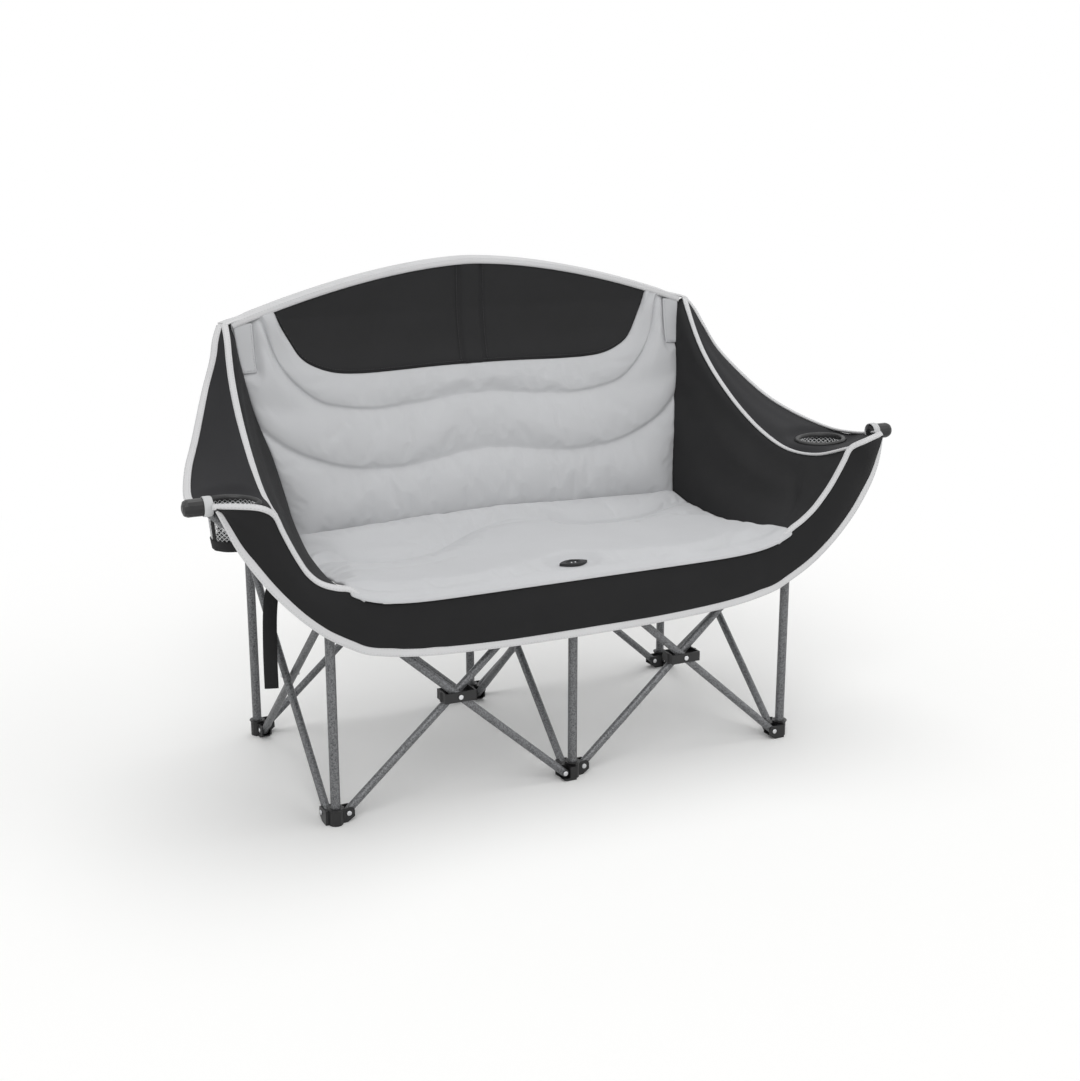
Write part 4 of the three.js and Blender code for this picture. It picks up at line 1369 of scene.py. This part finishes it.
pouch_top = 0.0440
pouch_foot = 0.0370
pouch_depth = 0.080
pouch_drop = 0.004
net_cord = 0.0008
net_count = 28
net_rows = 20
net_strand = 0.0021
cloth_lift = 0.0012
band_share = 0.24
strap_angles = (200, 20, 110)
ring_profile = (
    (0.0448, -0.0190), (0.0443, -0.0150), (0.0450, -0.0130), (0.0443, -0.0110), (0.0450, -0.0090),
    (0.0443, -0.0070), (0.0448, -0.0010), (0.0462, 0.0026), (0.0490, 0.0040), (0.0520, 0.0036),
    (0.0550, 0.0018), (0.0560, -0.0004), (0.0552, -0.0022), (0.0514, -0.0026), (0.0500, -0.0045),
    (0.0488, -0.0190))
band_foot = pouch_foot + 0.0018
band_top = band_foot + (pouch_top - pouch_foot) * band_share
band_profile = (
    (0.0005, -pouch_depth - 0.001), (band_foot - 0.003, -pouch_depth - 0.001),
    (band_foot, -pouch_depth + 0.001), (band_top + cloth_lift, -pouch_depth * (1 - band_share)),
    (band_top - cloth_lift, -pouch_depth * (1 - band_share)), (band_foot - 0.0022, -pouch_depth + 0.0025),
    (0.0005, -pouch_depth + cloth_lift))
net_material = woven_material("light_knotted_net", "E2E3E4", net_cord, 0.05, 0.7, 0)


def pouch_radius(share):
    return pouch_foot + (pouch_top - pouch_foot) * share


def on_circle(radius, turn, height):
    return Vector((radius * math.cos(turn), radius * math.sin(turn), height))


def turned_piece(name, outline, sides, material):
    """A closed outline of radii and heights, turned once round the upright axis."""
    corners, faces = [], []
    count = len(outline)
    for turn in range(sides):
        corners += [on_circle(radius, 2 * math.pi * turn / sides, height) for radius, height in outline]
        here, after = turn * count, (turn + 1) % sides * count
        for k in range(count):
            up = (k + 1) % count
            faces.append((here + k, after + k, after + up, here + up))
    return new_piece(name, corners, faces, [material])


def knotted_net(name):
    """A net of diamonds round the pouch: each face's edges become four strands."""
    corners, faces = [], []
    for row in range(net_rows + 1):
        share = row / net_rows
        for step in range(net_count):
            angle = 2 * math.pi * (step + 0.5 * (row % 2)) / net_count
            corners.append(on_circle(pouch_radius(share), angle, -pouch_depth * (1 - share)))
    for row in range(net_rows - 1):
        for step in range(net_count):
            before, after = (step + row % 2 - 1) % net_count, (step + row % 2) % net_count
            faces.append((
                row * net_count + step, (row + 1) * net_count + after,
                (row + 2) * net_count + step, (row + 1) * net_count + before))
    net = new_piece(name, corners, faces, [net_material])
    apply_modifier(net, "WIREFRAME", thickness=net_strand, use_even_offset=False)
    return net


for name, side in both_sides:
    hub = f"front_{name}_hub"
    place = cup_places[side] + Vector((0, 0, arm_thickness / 2))
    hanging = place - Vector((0, 0, pouch_drop))
    lean = Vector((-side * cup_slope, 0, 1)).to_track_quat("Z", "Y").to_matrix().to_4x4()
    ring = turned_piece(f"{name}_cup_holder_ring", ring_profile, 72, black_nylon)
    ring.data.transform(Matrix.Translation(place) @ lean)
    fasten(ring, hub, "plastic", f"{name}_cup_ring")
    net = knotted_net(f"{name}_cup_net")
    net.data.transform(Matrix.Translation(hanging))
    fasten(net, hub, "mesh", f"{name}_cup_pouch")
    band = turned_piece(f"{name}_cup_bottom", band_profile, 48, black_polyester)
    band.data.transform(Matrix.Translation(hanging))
    fasten(band, hub, "black_cloth")
    for number, angle in enumerate(strap_angles):
        turn = math.radians(angle if side < 0 else 180 - angle)
        strap_top = hanging - Vector((0, depth_shift, 0))
        strap_line = line_through([
            strap_top + on_circle(pouch_radius(1 - down) + cloth_lift, turn, -pouch_depth * down)
            for down in (0, 0.45, 1)])
        strap = taped_edge(
            f"{name}_cup_strap_{number + 1}", strap_line, toward(*on_circle(1, turn, 0)),
            0.011, 0.0018, 10, black_polyester, rows=())
        fasten(strap, hub, "black_cloth")

# Webbing: a light grey loop round each long tube holds the arm cloth at its tip, and a
# black carrying strap of flat 28 mm webbing hangs outside the left crossing. Both are
# woven polypropylene with ribs about 1.2 mm apart, drawn at 2.4 and 2.8 mm to show.

loop_pitch = 0.0024
strap_pitch = 0.0028

black_webbing = woven_material("woven_black_webbing", "1B1B1C", strap_pitch, 0.05, 0.7, 0)
grey_webbing = woven_material("woven_grey_webbing", "C4C5C6", loop_pitch, 0.04, 0.75, 0)
for name, side in both_sides:
    low_corner, high_corner = (Vector(corner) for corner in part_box(f"{name}_arm_tip_cap"))
    centre = (low_corner + high_corner) / 2 - Vector((0, depth_shift, 0))
    centre.x = side * (min(abs(low_corner.x), abs(high_corner.x)) + 0.010)
    loop_radius = (high_corner.y - low_corner.y) / 2 + cloth_lift

    def round_the_tube(share):
        return Vector((0, math.cos(2 * math.pi * share), math.sin(2 * math.pi * share)))

    loop = taped_edge(
        f"{name}_arm_tip_loop", lambda share: centre + round_the_tube(share) * loop_radius, round_the_tube,
        0.016, 0.0026, 40, grey_webbing, rows=())
    fasten(loop, f"front_{name}_long_diagonal", "grey_webbing", f"{name}_arm_loop")

strap_line = line_through([
    (-0.500, -0.004, 0.440), (-0.520, -0.006, 0.430), (-0.540, -0.009, 0.405), (-0.549, -0.012, 0.36),
    (-0.553, -0.014, 0.28), (-0.554, -0.016, 0.203)])
carry_strap = taped_edge(
    "carry_strap_webbing", strap_line, toward(-0.3, -0.95, 0.05), 0.028, 0.0024, 40, black_webbing, rows=())
fold_with_side(carry_strap, "left", "webbing", "carry_strap")
